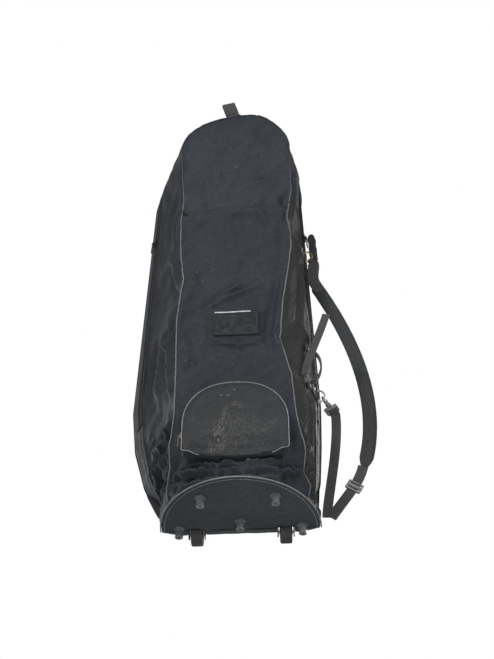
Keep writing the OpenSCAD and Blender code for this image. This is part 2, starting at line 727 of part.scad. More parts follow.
module d_ring() {
    cylinder(r = wire_r, h = ring_bar, center = true);
    rotate([90, 0, 0]) rotate([0, 0, -90]) rotate_extrude(angle = 180)
        translate([ring_r, 0]) circle(r = wire_r);
}
tab_len = 44;
tab_turn = -12;                             // the tab lies back against the sloping gusset
module ring_tab(p) {
    sleeve = 20;
    color([0.20, 0.20, 0.19])
        on_pivot(p) difference() {
            union() {
                cylinder(r = wire_r + 1.8, h = sleeve, center = true);
                rotate([0, 0, tab_turn])
                    translate([-wire_r - 1.4, -tab_len, 0.5 - sleeve / 2])
                        cube([web_t, tab_len - 1.6, sleeve - 1]);
            }
            cylinder(r = wire_r + 0.08, h = 2 * sleeve, center = true);
        }
}
module upper_ring() { color([0.72, 0.55, 0.30]) on_pivot(upper_pivot) d_ring(); }
module lower_ring() { color([0.45, 0.44, 0.42]) on_pivot(lower_pivot) d_ring(); }
module tab_rivets() {
    color([0.78, 0.76, 0.70])
        for (p = [upper_pivot, lower_pivot])
            on_pivot(p) rotate([0, 0, tab_turn])
                translate([web_t - wire_r - 1.3, -34, 0]) rotate([0, 90, 0]) {
                    cylinder(r = 4, h = 1.4);
                    translate([0, 0, 1.4]) cylinder(r = 2.4, h = 0.8);
                }
}

pad_curve = [[206, strap_y, 770], [262, strap_y, 660], [376, strap_y, 410], [306, strap_y, 186]];
pad_path = curve(pad_curve, 18);
module shoulder_pad() {
    color([0.24, 0.25, 0.27]) band(pad_path, flat_wide(pad_path), pad_w, pad_t);
}

// The upper webbing: a narrow loop round the ring, sewn to the wide strip that enters the pad.
loop_turn = 4.4;
loop_dir = [cos(50), 0, -sin(50)];
loop_at = upper_pivot + ring_r * loop_dir;
function loop_leg(s) = [for (k = [16, 9, 3])
    loop_at + k * loop_dir + [0, s * mix(0.8, loop_turn, (16 - k) / 13), 0]];
upper_path = curve([loop_at + 9 * loop_dir, loop_at + 26 * loop_dir, pad_path[0] + [-8, 0, 40],
                    pad_path[0] + [-1, 0, 6]], 8);
module strap_upper_webbing() {
    rear = loop_leg(1);
    fore = loop_leg(-1);
    turn = [for (i = [0:8]) let (a = 90 - 22.5 * i)
        loop_at - loop_turn * cos(a) * loop_dir + [0, loop_turn * sin(a), 0]];
    path = concat(rear, turn, [fore[2], fore[1], fore[0]]);
    color([0.24, 0.24, 0.23]) {
        band(path, [for (p = path) [loop_dir[2], 0, -loop_dir[0]]], 13, 1.2);
        band(upper_path, flat_wide(upper_path), 26, web_t);
    }
}
module strap_rivet() {
    p = upper_path[6];
    color([0.78, 0.76, 0.70])
        translate(p - [0, web_t / 2 + 0.1, 0]) rotate([90, 0, 0]) cylinder(r = 4, h = 1.4);
}

// Lower webbing: down from the pad, folded at its tip, and up to the hook.
fold_tip = [213, strap_y, 40];
hook_eye = lower_pivot + ring_r * [cos(35), 0, -sin(35)];
hook_dir = unit([0.5, 0, -0.866]);
eye_end = hook_eye + 52 * hook_dir;
pad_end = pad_path[18];
down_curve = [pad_end + [-2, 0, -4], pad_end + [-16, 0, -50], fold_tip + [50, 0, 70], fold_tip + [6, 0, 4]];
module strap_lower_webbing() {
    down = curve(down_curve, 12);
    up = curve([fold_tip + [-4, 0, 4], fold_tip + [0, 0, 70],
                eye_end + [6, 0, -110], eye_end + [2, 0, -6]], 12);
    color([0.24, 0.24, 0.23]) {
        band(down, flat_wide(down), web_w - 4, web_t);
        translate([0, -web_t - 0.6, 0]) band(up, flat_wide(up), web_w - 6, web_t);
    }
}
adjust_t = 0.42;
adjust_at = bezier(down_curve, adjust_t);
adjust_dir = unit(bezier(down_curve, adjust_t + 0.02) - bezier(down_curve, adjust_t - 0.02));
module strap_adjuster() {
    w = web_w + 10;
    l = 24;
    t = 6.4;
    slot_w = web_w + 2;
    slot_t = web_t + 1.8;
    window = 5;
    color([0.05, 0.05, 0.055])
        translate(adjust_at) rotate([0, atan2(adjust_dir[0], adjust_dir[2]), 0])
            difference() {
                translate([-w / 2, -t / 2, -l / 2]) cube([w, t, l]);
                translate([-slot_w / 2, -slot_t / 2, -l]) cube([slot_w, slot_t, 2 * l]);
                for (z = [-6, 6])
                    translate([-slot_w / 2, -t, z - window / 2]) cube([slot_w, 2 * t, window]);
            }
}

// The snap hook hangs on the lower ring, its stem pointing along hook_dir.
hook_r = 7;
hook_wire = 2.2;
stem_z = -30;
gate_pivot = [0, -6.4, -hook_r - 3.5];
gate_pin_r = 0.8;
ear_t = 2;
gate_w = 3;
gate_slot = gate_w + 0.6;
module on_hook() {
    translate(hook_eye) rotate([0, atan2(-hook_dir[0], -hook_dir[2]), 0]) children();
}
module snap_hook() {
    ears = gate_slot + 2 * ear_t;
    color([0.55, 0.56, 0.58])
        on_hook() {
            rotate([0, 90, 0]) rotate([0, 0, -10]) rotate_extrude(angle = 250)
                translate([hook_r, 0]) circle(r = hook_wire);
            difference() {
                union() {
                    translate([0, 0, -hook_r - 8]) cylinder(r = 5, h = 9);
                    translate([-ears / 2, gate_pivot[1] - 1.9, gate_pivot[2] - 3]) cube([ears, 7, 5.4]);
                }
                translate([-gate_slot / 2, -12, -hook_r - 6.8]) cube([gate_slot, 9, 12]);
                translate(gate_pivot) rotate([0, 90, 0])
                    cylinder(r = gate_pin_r + 0.03, h = 20, center = true);
            }
            translate([0, 0, stem_z]) cylinder(r = 2.5, h = -stem_z - hook_r - 7);
            translate([0, 0, stem_z - 2]) cylinder(r = 4, h = 2.2);
        }
}
module hook_gate() {
    color([0.5, 0.5, 0.52])
        on_hook() translate(gate_pivot) difference() {
            union() {
                rotate([0, 90, 0]) cylinder(r = 1.7, h = gate_w, center = true);
                translate([-gate_w / 2, -1.2, 0]) cube([gate_w, 2.4, 11.5]);
            }
            rotate([0, 90, 0]) cylinder(r = gate_pin_r + 0.06, h = 10, center = true);
        }
}
module hook_gate_pin() {
    color([0.7, 0.7, 0.72])
        on_hook() translate(gate_pivot) rotate([0, 90, 0])
            cylinder(r = gate_pin_r, h = gate_slot + 2 * ear_t + 0.4, center = true);
}
module hook_swivel() {
    w = web_w + 4;
    color([0.06, 0.06, 0.065])
        on_hook() difference() {
            union() {
                translate([0, 0, stem_z + 0.4]) cylinder(r = 7, h = 11);
                translate([-w / 2, -4, stem_z - 18]) cube([w, 8, 20]);
            }
            translate([0, 0, stem_z - 1]) cylinder(r = 2.58, h = 20);
            translate([0, 0, stem_z - 5]) cylinder(r = 4.3, h = 5.3);
            translate([-(web_w - 2) / 2, -10, stem_z - 13]) cube([web_w - 2, 20, 5]);
        }
}

// A loose tail of narrow webbing sewn to the gusset beside the side handle.
tail_foot = side_point(1, 385, 0.2) + [6, -2, 0];
module webbing_tail() {
    path = curve([tail_foot + [1, 0, 4], tail_foot + [8, -4, 40], tail_foot + [42, -12, 110],
                  tail_foot + [62, -12, 178]], 12);
    wide = [for (i = [0:12]) turned([0, 1, 0], [0, 0, 1], mix(0, -80, smooth(i / 6)))];
    color([0.26, 0.26, 0.25]) band(path, wide, 20, web_t);
}

// ---- Feet ---------------------------------------------------------------------------------------
screw_r = 2;
floor_t = 7;
module feet() {
    color([0.04, 0.04, 0.045])
        for (p = feet_at) translate([p[0], p[1], 0]) difference() {
            union() {
                cylinder(d = foot_d, h = foot_len - gap);
                translate([0, 0, foot_len - gap - 2.5]) cylinder(d = foot_d + 5, h = 2.5);
            }
            translate([0, 0, -1]) cylinder(r = 4.5, h = foot_len - gap - floor_t + 1);
            cylinder(r = screw_r + 0.2, h = foot_len + 1);
        }
}
module foot_screws() {
    head_z = foot_len - gap - floor_t;
    color([0.6, 0.6, 0.62])
        for (p = feet_at) translate([p[0], p[1], 0]) {
            translate([0, 0, head_z - 3.1]) cylinder(r = 3.8, h = 3);
            translate([0, 0, head_z - 0.2]) cylinder(r = screw_r, h = board_top + 6 - head_z);
        }
}
module foot_washers() {
    color([0.6, 0.6, 0.62])
        for (p = feet_at) translate([p[0], p[1], board_top + 0.05])
            difference() {
                cylinder(r = 6, h = 1);
                translate([0, 0, -1]) cylinder(r = screw_r + 0.2, h = 3);
            }
}
module foot_nuts() {
    color([0.6, 0.6, 0.62])
        for (p = feet_at) translate([p[0], p[1], board_top + 1.1])
            difference() {
                cylinder(r = 4.4, h = 3.2, $fn = 6);
                translate([0, 0, -1]) cylinder(r = screw_r + 0.05, h = 6);
            }
}

base_board();
base_cover();
rear_bevel();
base_piping();
front_panel();
yoke_panel();
gusset(-1);  // left_gusset
top_gusset();
gusset(1);  // right_gusset
back_flange();
back_panel();
panel_piping();
hood_padding();
main_zip_tape();
main_zip_teeth();
zip_slider(-1);  // left_slider
zip_pull(-1);  // left_pull
zip_slider(1);  // right_slider
zip_pull(1);  // right_pull
front_pocket_face();
front_pocket_gusset();
front_pocket_piping();
pocket_zip();
pocket_slider();
pocket_pull();
card_pocket();
card_window();
card_pocket_binding();
top_loop();
top_loop_anchor();
side_handle();
side_handle_anchors();
ring_tab(upper_pivot);  // upper_ring_tab
upper_ring();
ring_tab(lower_pivot);  // lower_ring_tab
lower_ring();
tab_rivets();
strap_upper_webbing();
shoulder_pad();
strap_lower_webbing();
strap_rivet();
strap_adjuster();
snap_hook();
hook_gate();
hook_gate_pin();
hook_swivel();
webbing_tail();
tyre(-1);  // left_tyre
hub(-1);  // left_hub
tyre(1);  // right_tyre
hub(1);  // right_hub
axles();
housing(-1);  // left_housing
housing(1);  // right_housing
housing_screws();
feet();
foot_screws();
foot_washers();
foot_nuts();
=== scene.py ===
import json
import math
import bmesh
import bpy
import numpy as np
from mathutils import Matrix, Vector, geometry, kdtree


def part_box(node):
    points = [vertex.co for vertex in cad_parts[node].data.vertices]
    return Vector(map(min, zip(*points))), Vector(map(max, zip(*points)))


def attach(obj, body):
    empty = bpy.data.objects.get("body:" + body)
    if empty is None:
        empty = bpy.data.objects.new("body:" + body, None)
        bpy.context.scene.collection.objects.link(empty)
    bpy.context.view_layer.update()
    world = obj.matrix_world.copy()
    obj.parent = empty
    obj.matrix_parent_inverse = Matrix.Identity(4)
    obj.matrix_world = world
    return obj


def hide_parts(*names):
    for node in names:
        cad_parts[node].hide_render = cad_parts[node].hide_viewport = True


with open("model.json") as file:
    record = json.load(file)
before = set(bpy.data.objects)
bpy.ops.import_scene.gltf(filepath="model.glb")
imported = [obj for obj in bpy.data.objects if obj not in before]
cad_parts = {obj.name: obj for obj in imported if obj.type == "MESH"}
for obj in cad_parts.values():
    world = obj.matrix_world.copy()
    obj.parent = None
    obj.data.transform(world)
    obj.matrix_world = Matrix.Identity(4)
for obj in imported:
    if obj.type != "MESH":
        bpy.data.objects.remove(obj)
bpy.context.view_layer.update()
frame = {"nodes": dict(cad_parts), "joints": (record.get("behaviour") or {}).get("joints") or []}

NODES = frame["nodes"]

# ---- Sizes, in metres ----
# x runs to the right of the case, y to its back and z up. The base's front rim is half an ellipse.
BASE_LOW, BASE_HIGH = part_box("base_cover")
BASE_HALF, BASE_Z, SEAM_Y = BASE_HIGH.x, BASE_LOW.z, BASE_HIGH.y
ARC_DEPTH = SEAM_Y - BASE_LOW.y
EDGE_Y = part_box("rear_bevel")[1].y
EDGE_HALF = 0.150                   # half the width of the base's rear edge
BEVEL_RISE = 0.012
CLOTH_Z = BASE_Z + 0.0025           # where the cloth's walls start
BODY_H = 1.325
HOOD_LEAN = 0.036
PANEL_HALF = 0.150
PANEL_RIM = 0.010                   # how far the panel's rim lies behind its middle
ARCH_Z = BODY_H - PANEL_HALF        # the front arch's foot
BLEND_H = 0.150                     # height over which the base's rim turns into the panels
YOKE_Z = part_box("yoke_panel")[0].z
STRAIGHT_Z = 1.100                  # the back arch's foot
BACK_DROP = 0.014                   # how much lower than the crown the back panel ends
BACK_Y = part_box("back_panel")[0].y - 0.002
PANEL_FACE = ([0.026, 0.150, 0.400, 1.100, BODY_H], [-0.182, -0.162, -0.140, -0.102, -0.078])
CORNER_Z = [0.026, 0.090, 0.150, 0.280, 0.400, 1.100]
LEFT_BACK = [-0.150, -0.208, -0.236, -0.268, -0.277, -0.234]
RIGHT_BACK = [0.150, 0.190, 0.194, 0.202, 0.205, 0.176]
RIM_CORNER = 0.72                   # where along the gusset's depth the base's corner lies
# Across the gusset, v is 0 at the front edge and 1 at the back edge.
ZIP_V = 0.86
ZIP_HALF = 0.035
SOFT_V = 0.79                       # the simulated cloth ends here, before the zip
CLOTH_T = 0.0016
FEET = [(0, 0)] + [(s * 0.088, -0.111) for s in (-1, 1)] + [(s * 0.149, 0.029) for s in (-1, 1)]
WHEEL_X = 0.108
NOTCH_HALF = 0.0215                 # the wheel notches: half width, how far in, how high
NOTCH_Y = 0.0325
HOUSING_TOP = 0.0625
STEP = 0.0085                       # spacing of the cloth's points
BODY_MIDDLE = np.array([0, 0, 0.7])

# How far the sewn front edges wander from straight: heights, then shifts along x.
LEFT_SWAY = ([0.03, 0.06, 0.10, 0.16, 0.40, 0.55, 0.63, 0.69, 0.77, 0.90, 0.97, 1.02, 1.155],
             [0, -0.003, 0.004, -0.001, -0.001, -0.001, 0.006, 0.013, 0.005, 0.003, 0.009, 0.007, 0])
RIGHT_SWAY = ([0.03, 0.058, 0.085, 0.125, 0.22, 0.355, 0.474, 0.6, 0.715, 0.794, 0.843, 0.9, 0.95, 1, 1.155],
              [-0.003, 0.005, -0.008, 0.002, -0.005, -0.014, -0.040, -0.030, -0.014, -0.005, -0.006, -0.012,
               -0.006, 0, 0])


def joint(name):
    """Where a joint sits, and its axis."""
    found = next(j for j in frame["joints"] if j["name"] == name)
    return np.array(found.get("pos_m", (0, 0, 0)), float), np.array(found["axis"], float)


def mix(a, b, t):
    return a + (b - a) * t


def smooth(t):
    t = np.clip(t, 0, 1)
    return t * t * (3 - 2 * t)


def unit(v):
    v = np.asarray(v, float)
    return v / np.maximum(np.linalg.norm(v, axis=-1, keepdims=True), 1e-12)


def xyz(x, y, z):
    """Points from three coordinates, any of which may be one number for all points."""
    return np.stack(np.broadcast_arrays(x, y, z), -1).astype(float)


def run_along(path):
    """The distance along a path at each of its points."""
    return np.concatenate([[0], np.cumsum(np.linalg.norm(np.diff(path, axis=0), axis=1))])


def tangents(path):
    return unit(np.gradient(np.asarray(path, float), axis=0))


def at_distances(path, at):
    """The path's points at distances along it."""
    path = np.asarray(path, float)
    run = run_along(path)
    return np.stack([np.interp(at, run, path[:, k]) for k in range(path.shape[1])], -1)


def edge_distance(points, loop):
    """How far flat points lie from the nearest point of a loop."""
    return np.array([np.min(np.hypot(loop[:, 0] - p[0], loop[:, 1] - p[1])) for p in points])


def noise(points, scale, seed=0, octaves=3):
    """Smooth noise of about -1 to 1 at the points, from sums of plane waves."""
    rng = np.random.RandomState(seed)
    points = np.asarray(points, float)
    total, size, weight = np.zeros(len(points)), 1.0, 0.0
    for _ in range(octaves):
        for _ in range(6):
            k = unit(rng.normal(size=points.shape[1])) * 2 * math.pi
            k = k / (scale * size * rng.uniform(0.7, 1.4))
            total += size * np.sin(points @ k + rng.uniform(0, 2 * math.pi))
        weight += size * 1.8
        size *= 0.5
    return total / weight


# ---- The body's surfaces ----
def arc_y(x):
    return SEAM_Y - ARC_DEPTH * np.sqrt(np.maximum(0, 1 - (x / BASE_HALF) ** 2))


def half_width(z):
    """Half the front panel's width at a height."""
    flank = PANEL_HALF + 0.015 * (1 - smooth((z - CLOTH_Z) / (1.6 * BLEND_H)))
    arch = PANEL_HALF * np.sqrt(np.maximum(0, 1 - ((z - ARCH_Z) / PANEL_HALF) ** 2))
    return np.where(z > ARCH_Z, arch, flank)


def blend_at(z):
    return smooth((z - CLOTH_Z) / BLEND_H)


def panel_y(z):
    return np.interp(z, *PANEL_FACE)


def lean_at(t):
    """How far the hood's crown leans over; t is 0 at the arch's foot and 1 at its top."""
    return HOOD_LEAN * np.clip(t, 0, 1) ** 6


def front_y(x, z):
    out = np.where(z > ARCH_Z, np.hypot(x, z - ARCH_Z), np.abs(x)) / PANEL_HALF
    return mix(arc_y(x), panel_y(z) + PANEL_RIM * np.minimum(out, 1.1) ** 4, blend_at(z))


def sway(side, z):
    """How far the sewn front edge is shifted along x."""
    return np.where(side < 0, np.interp(z, *LEFT_SWAY), np.interp(z, *RIGHT_SWAY))


def front_point(x, z):
    s = x / np.maximum(half_width(z), 1e-6)
    shift = sway(np.sign(x), z) * np.minimum(np.abs(s), 1) ** 3
    shift = np.where(z < ARCH_Z, shift, lean_at((z - ARCH_Z) / PANEL_HALF))
    return xyz(x + shift, front_y(x, z), z)


def back_x(side, z):
    """Where the back panel's edge lies."""
    return np.where(side < 0, np.interp(z, CORNER_Z, LEFT_BACK), np.interp(z, CORNER_Z, RIGHT_BACK))


def base_rim(side, v, z):
    """The gusset's foot: round the base's front arc, then along the bevel to the rear edge."""
    start = math.asin(float(half_width(np.array(CLOTH_Z))) / BASE_HALF)
    a = mix(start, math.pi / 2, np.minimum(1, v / RIM_CORNER))
    w = np.maximum(0, (v - RIM_CORNER) / (1 - RIM_CORNER))
    x = np.where(v < RIM_CORNER, BASE_HALF * np.sin(a), mix(BASE_HALF, EDGE_HALF, w))
    y = np.where(v < RIM_CORNER, SEAM_Y - ARC_DEPTH * np.cos(a), mix(SEAM_Y, BACK_Y, w))
    return xyz(side * x, y, z + BEVEL_RISE * w * (1 - blend_at(z)))


def side_point(side, z, v):
    """A point of the gusset below the arch."""
    x = side * half_width(z)
    b = blend_at(z)[..., None]
    pulled = mix(xyz(x, front_y(x, z), z), xyz(back_x(side, z), BACK_Y, z), v[..., None])
    pulled[..., 0] += sway(side, z) * (1 - smooth(v / 0.45))
    return base_rim(side, v, z) * (1 - b) + pulled * b


def arch_point(a, v):
    """A point of the gusset over the hood; a is the angle round the arch from the right."""
    left, right = LEFT_BACK[-1], RIGHT_BACK[-1]
    sin, cos = np.sin(a), np.cos(a)
    zf = ARCH_Z + PANEL_HALF * sin
    front = xyz(PANEL_HALF * cos + lean_at(sin), panel_y(zf) + PANEL_RIM, zf)
    back = xyz((left + right) / 2 * (1 - sin) + (right - left) / 2 * cos + lean_at(sin) / 2, BACK_Y,
               STRAIGHT_Z + (BODY_H - BACK_DROP - STRAIGHT_Z) * sin)
    out = mix(front, back, v[..., None])
    out[..., 2] += 0.010 * sin * np.sin(math.pi * v)
    return out


def hoop(t, v):
    """A point of the gusset. t runs 0..1 up the left side, 1..2 over the arch, 2..3 down the right side."""
    t, v = [np.array(p, float) for p in np.broadcast_arrays(t, v)]
    side = np.where(t < 1.5, -1.0, 1.0)
    h = np.where(t <= 1, t, np.where(t >= 2, 3 - t, 1))
    z = CLOTH_Z + h * mix(ARCH_Z - CLOTH_Z, STRAIGHT_Z - CLOTH_Z, v)
    over = ((t > 1) & (t < 2))[..., None]
    return np.where(over, arch_point(math.pi * (2 - t), v), side_point(side, z, v))


def hoop_normal(t, v):
    e = 0.004
    lo_t, hi_t = np.clip(t - e, 0, 3), np.clip(t + e, 0, 3)
    lo_v, hi_v = np.clip(v - e, 0, 1), np.clip(v + e, 0, 1)
    return unit(np.cross(hoop(hi_t, v) - hoop(lo_t, v), hoop(t, hi_v) - hoop(t, lo_v)))


# ---- Mesh helpers ----
def make(name, verts, faces, smooth_shade=True):
    """A mesh object from points and faces."""
    mesh = bpy.data.meshes.new(name)
    mesh.from_pydata([tuple(map(float, v)) for v in verts], [], [tuple(int(i) for i in f) for f in faces])
    mesh.validate()
    mesh.update()
    obj = bpy.data.objects.new(name, mesh)
    bpy.context.scene.collection.objects.link(obj)
    if smooth_shade:
        mesh.shade_smooth()
    return obj


def coords(obj):
    co = np.zeros(len(obj.data.vertices) * 3, np.float32)
    obj.data.vertices.foreach_get("co", co)
    return co.reshape(-1, 3).astype(float)


def normals(obj):
    no = np.zeros(len(obj.data.vertices) * 3, np.float32)
    obj.data.vertices.foreach_get("normal", no)
    return no.reshape(-1, 3).astype(float)


def set_coords(obj, co):
    obj.data.vertices.foreach_set("co", np.asarray(co, np.float32).ravel())
    obj.data.update()


def modify(obj, kind, **settings):
    """Adds a modifier."""
    mod = obj.modifiers.new(kind.lower(), kind)
    for key, value in settings.items():
        setattr(mod, key, value)
    return mod


def apply_all(obj):
    """Turns the object with its modifiers into a plain mesh."""
    bpy.context.view_layer.update()
    shown = obj.evaluated_get(bpy.context.evaluated_depsgraph_get())
    mesh = bpy.data.meshes.new_from_object(shown)
    obj.modifiers.clear()
    obj.data = mesh
    return obj


def subdivide(obj):
    modify(obj, "SUBSURF", levels=1, render_levels=1)
    return apply_all(obj)


def face_toward(obj, direction):
    """Turns the faces over if they look away from the direction, which may be one for each point."""
    if np.mean(np.sum(normals(obj) * np.array(direction, float), axis=1)) < 0:
        obj.data.flip_normals()


def thicken(obj, t=CLOTH_T, offset=-1.0):
    """Gives a sheet its thickness, inwards by default."""
    modify(obj, "SOLIDIFY", thickness=t, offset=offset, use_even_offset=False)
    apply_all(obj).data.shade_smooth()
    return obj


def resample(points, step, closed=False):
    """Evenly spaced points along a path."""
    points = np.asarray(points, float)
    if closed:
        points = np.vstack([points, points[:1]])
    length = run_along(points)[-1]
    out = at_distances(points, np.linspace(0, length, max(2, int(round(length / step))) + 1))
    return out[:-1] if closed else out


def inside(points, loops):
    """Which flat points lie inside the outlines and outside the holes."""
    odd = np.zeros(len(points), bool)
    x, y = points[:, 0], points[:, 1]
    for loop in loops:
        nxt = np.roll(loop, -1, axis=0)
        for (x0, y0), (x1, y1) in zip(loop, nxt):
            if y0 != y1:
                odd ^= ((y0 > y) != (y1 > y)) & (x < (x1 - x0) * (y - y0) / (y1 - y0) + x0)
    return odd


def plate(loops, step, lines=(), seed=0):
    """Even triangles that fill closed flat loops (outlines and holes), with edges along the lines."""
    rng = np.random.RandomState(seed)
    fixed = [np.asarray(l, float) for l in loops] + [np.asarray(l, float) for l in lines]
    verts, edges = [], []
    for k, l in enumerate(fixed):
        n = len(verts)
        verts += [tuple(p) for p in l]
        last = len(l) if k < len(loops) else len(l) - 1
        edges += [(n + i, n + (i + 1) % len(l)) for i in range(last)]
    rim = np.array(verts)
    low, high = rim.min(0), rim.max(0)
    rows = np.arange(low[1] + step / 2, high[1], step * 0.866)
    grid = np.array([(x + (i % 2) * step / 2, y) for i, y in enumerate(rows)
                     for x in np.arange(low[0] + step / 2, high[0], step)])
    grid += rng.uniform(-0.18, 0.18, grid.shape) * step
    grid = grid[inside(grid, fixed[:len(loops)])]
    grid = grid[edge_distance(grid, rim) > 0.62 * step]
    points = [Vector(p) for p in verts] + [Vector(p) for p in grid]
    out, _, faces, *_ = geometry.delaunay_2d_cdt(points, edges, [], 0, 1e-6)
    out = np.array([tuple(p) for p in out])
    faces = np.array([f for f in faces if len(f) == 3])
    faces = faces[inside(out[faces].mean(1), fixed[:len(loops)])]
    used = np.unique(faces)
    renumber = -np.ones(len(out), int)
    renumber[used] = np.arange(len(used))
    return out[used], renumber[faces]


def drape(obj, pins, frames, grow, pressure, bend, cap, mass, pull=(0, 0, 0)):
    """Lets the cloth settle between its pinned seams, then limits how far each point has moved."""
    start = coords(obj)
    group = obj.vertex_groups.new(name="pins")
    for w in np.unique(np.round(pins, 2)):
        if w > 0:
            group.add([int(i) for i in np.where(np.abs(pins - w) < 0.006)[0]], float(w), "REPLACE")
    mod = modify(obj, "CLOTH")
    s = mod.settings
    s.quality = 6
    s.mass = mass
    s.tension_stiffness = s.compression_stiffness = 12
    s.shear_stiffness = 4
    s.bending_stiffness = bend
    s.air_damping = 2
    s.vertex_group_mass = "pins"
    s.shrink_min = -grow
    s.use_pressure = True
    s.uniform_pressure_force = pressure
    mod.collision_settings.use_collision = False
    mod.point_cache.frame_start, mod.point_cache.frame_end = 1, frames
    scene = bpy.context.scene
    scene.gravity = pull
    for f in range(1, frames + 1):
        scene.frame_set(f)
    shown = obj.evaluated_get(bpy.context.evaluated_depsgraph_get())
    end = coords(shown)
    obj.modifiers.clear()
    obj.vertex_groups.clear()
    scene.frame_set(1)
    moved = end - start
    far = np.linalg.norm(moved, axis=1, keepdims=True)
    print(f"drape {obj.name}: {len(start)} points, furthest {far.max():.4f}, mean {far.mean():.4f}")
    moved *= cap * np.tanh(far / cap) / np.maximum(far, 1e-9)
    set_coords(obj, start + moved)
    return obj


def calmed(values, triangles, times):
    """Averages values over neighbouring points, which takes out the finest wrinkles."""
    pairs = np.vstack([triangles[:, [0, 1]], triangles[:, [1, 2]], triangles[:, [2, 0]]])
    count = np.bincount(pairs.ravel(), minlength=len(values)).clip(1)[:, None]
    for _ in range(times):
        total = np.zeros_like(values)
        np.add.at(total, pairs[:, 0], values[pairs[:, 1]])
        np.add.at(total, pairs[:, 1], values[pairs[:, 0]])
        values = 0.5 * values + 0.5 * total / count
    return values


def fold(points, line, height, width):
    """Height of a crease at flat points: a ridge along the line with a valley on its left side."""
    line = np.asarray(line, float)
    best = np.full(len(points), 1e9)
    signed, along = np.zeros(len(points)), np.zeros(len(points))
    run = run_along(line)
    for k in range(len(line) - 1):
        a, d = line[k], line[k + 1] - line[k]
        t = np.clip(((points - a) @ d) / (d @ d), 0, 1)
        off = points - a - t[:, None] * d
        dist = np.hypot(off[:, 0], off[:, 1])
        closer = dist < best
        best = np.where(closer, dist, best)
        signed = np.where(closer, dist * np.sign(d[0] * off[:, 1] - d[1] * off[:, 0]), signed)
        along = np.where(closer, (run[k] + t * (run[k + 1] - run[k])) / run[-1], along)
    fade = np.sin(math.pi * np.clip(along, 0.0, 1.0)) ** 0.7
    ridge = np.exp(-(signed / width) ** 2) - 0.6 * np.exp(-((signed - 1.7 * width) / width) ** 2)
    return height * fade * ridge


def sweep(name, path, wide, section, scale=None):
    """Sweeps a closed cross-section (pairs of across, through) along a path with given width directions."""
    path = np.asarray(path, float)
    wide = unit(np.broadcast_to(wide, path.shape))
    along = tangents(path)
    wide = unit(wide - along * np.sum(wide * along, axis=1, keepdims=True))
    thick = unit(np.cross(wide, along))
    section = np.asarray(section, float)
    n, m = len(path), len(section)
    scale = np.ones(n) if scale is None else scale
    verts = (path[:, None] + scale[:, None, None] * (wide[:, None] * section[None, :, :1]
             + thick[:, None] * section[None, :, 1:])).reshape(-1, 3)
    faces = [(i * m + k, i * m + (k + 1) % m, (i + 1) * m + (k + 1) % m, (i + 1) * m + k)
             for i in range(n - 1) for k in range(m)]
    faces += [tuple(range(m - 1, -1, -1)), tuple((n - 1) * m + k for k in range(m))]
    after = np.roll(section, -1, axis=0)
    if np.sum(section[:, 0] * after[:, 1] - after[:, 0] * section[:, 1]) > 0:
        faces = [f[::-1] for f in faces]
    obj = make(name, verts, faces)
    strip = xyz(np.repeat(run_along(path), m), np.tile(section[:, 0], n), np.tile(section[:, 1], n))
    attribute = obj.data.attributes.new("strip", "FLOAT_VECTOR", "POINT")
    attribute.data.foreach_set("vector", strip.astype(np.float32).ravel())
    return obj


def circle(x, y, r, sides):
    turns = [2 * math.pi * k / sides for k in range(sides)]
    return [(x + r * math.cos(q), y + r * math.sin(q)) for q in turns]


def pillow_section(half_w, half_t, sides):
    """A stuffed strap's cross-section: an ellipse with fuller corners."""
    turns = np.linspace(0, 2 * math.pi, sides + 1)[:-1]
    bulge = [(math.cos(q), math.sin(q)) for q in turns]
    return [(half_w * np.sign(a) * abs(a) ** 0.6, half_t * np.sign(b) * abs(b) ** 0.8) for a, b in bulge]


def band_section(w, t, ribs=0, rib=0.0, cols=24):
    """A flat strap's cross-section with rounded edges and lengthwise ribs."""
    top = []
    for k in range(cols + 1):
        a = mix(-1, 1, k / cols)
        edge = math.sqrt(max(0, 1 - max(0, (abs(a) - 0.9) / 0.1) ** 2))
        wave = rib * math.cos(math.pi * ribs * (a + 1)) if ribs else 0
        top.append((a * w / 2, (t / 2 + wave) * (0.35 + 0.65 * edge)))
    return top + [(a, -b) for a, b in reversed(top)]


def bezier(p, n):
    p = np.asarray(p, float)
    t = np.linspace(0, 1, n)[:, None]
    return (1 - t) ** 3 * p[0] + 3 * t * (1 - t) ** 2 * p[1] + 3 * t * t * (1 - t) * p[2] + t ** 3 * p[3]


def cord(name, path, r, sides=10):
    """A round cord along a path, without twist: its width direction is carried along."""
    path = resample(path, 0.003)
    along = tangents(path)
    ref = np.array([0.13, 0.31, 0.94])
    if abs(along[0] @ ref) > 0.95:
        ref = ref[::-1]
    wide = [unit(np.cross(along[0], ref))]
    for a in along[1:]:
        wide.append(unit(wide[-1] - a * np.dot(wide[-1], a)))
    return sweep(name, path, np.array(wide), circle(0, 0, r, sides))


def stitches(name, rows, pitch=0.0042, length=0.0030, r=0.00032):
    """Sewing thread: short rounded stitches laid along each row of points."""
    verts, faces = [], []
    ring = 6
    for row in rows:
        for s in np.arange(pitch / 2, run_along(row)[-1] - pitch / 2, pitch):
            a, b = at_distances(row, [s - length / 2, s + length / 2])
            d = unit(b - a)
            u = unit(np.cross(d, [0.3, 0.5, 0.81]))
            w = np.cross(d, u)
            n = len(verts)
            for q, size in ((0, 0.35), (0.25, 1), (0.75, 1), (1, 0.35)):
                verts += [mix(a, b, q) + u * x + w * y for x, y in circle(0, 0, size * r, ring)]
            for i in range(3):
                faces += [(n + i * ring + k, n + i * ring + (k + 1) % ring,
                           n + (i + 1) * ring + (k + 1) % ring, n + (i + 1) * ring + k) for k in range(ring)]
            faces += [tuple(range(n + ring - 1, n - 1, -1)), tuple(range(n + 3 * ring, n + 4 * ring))]
    return make(name, verts, faces)


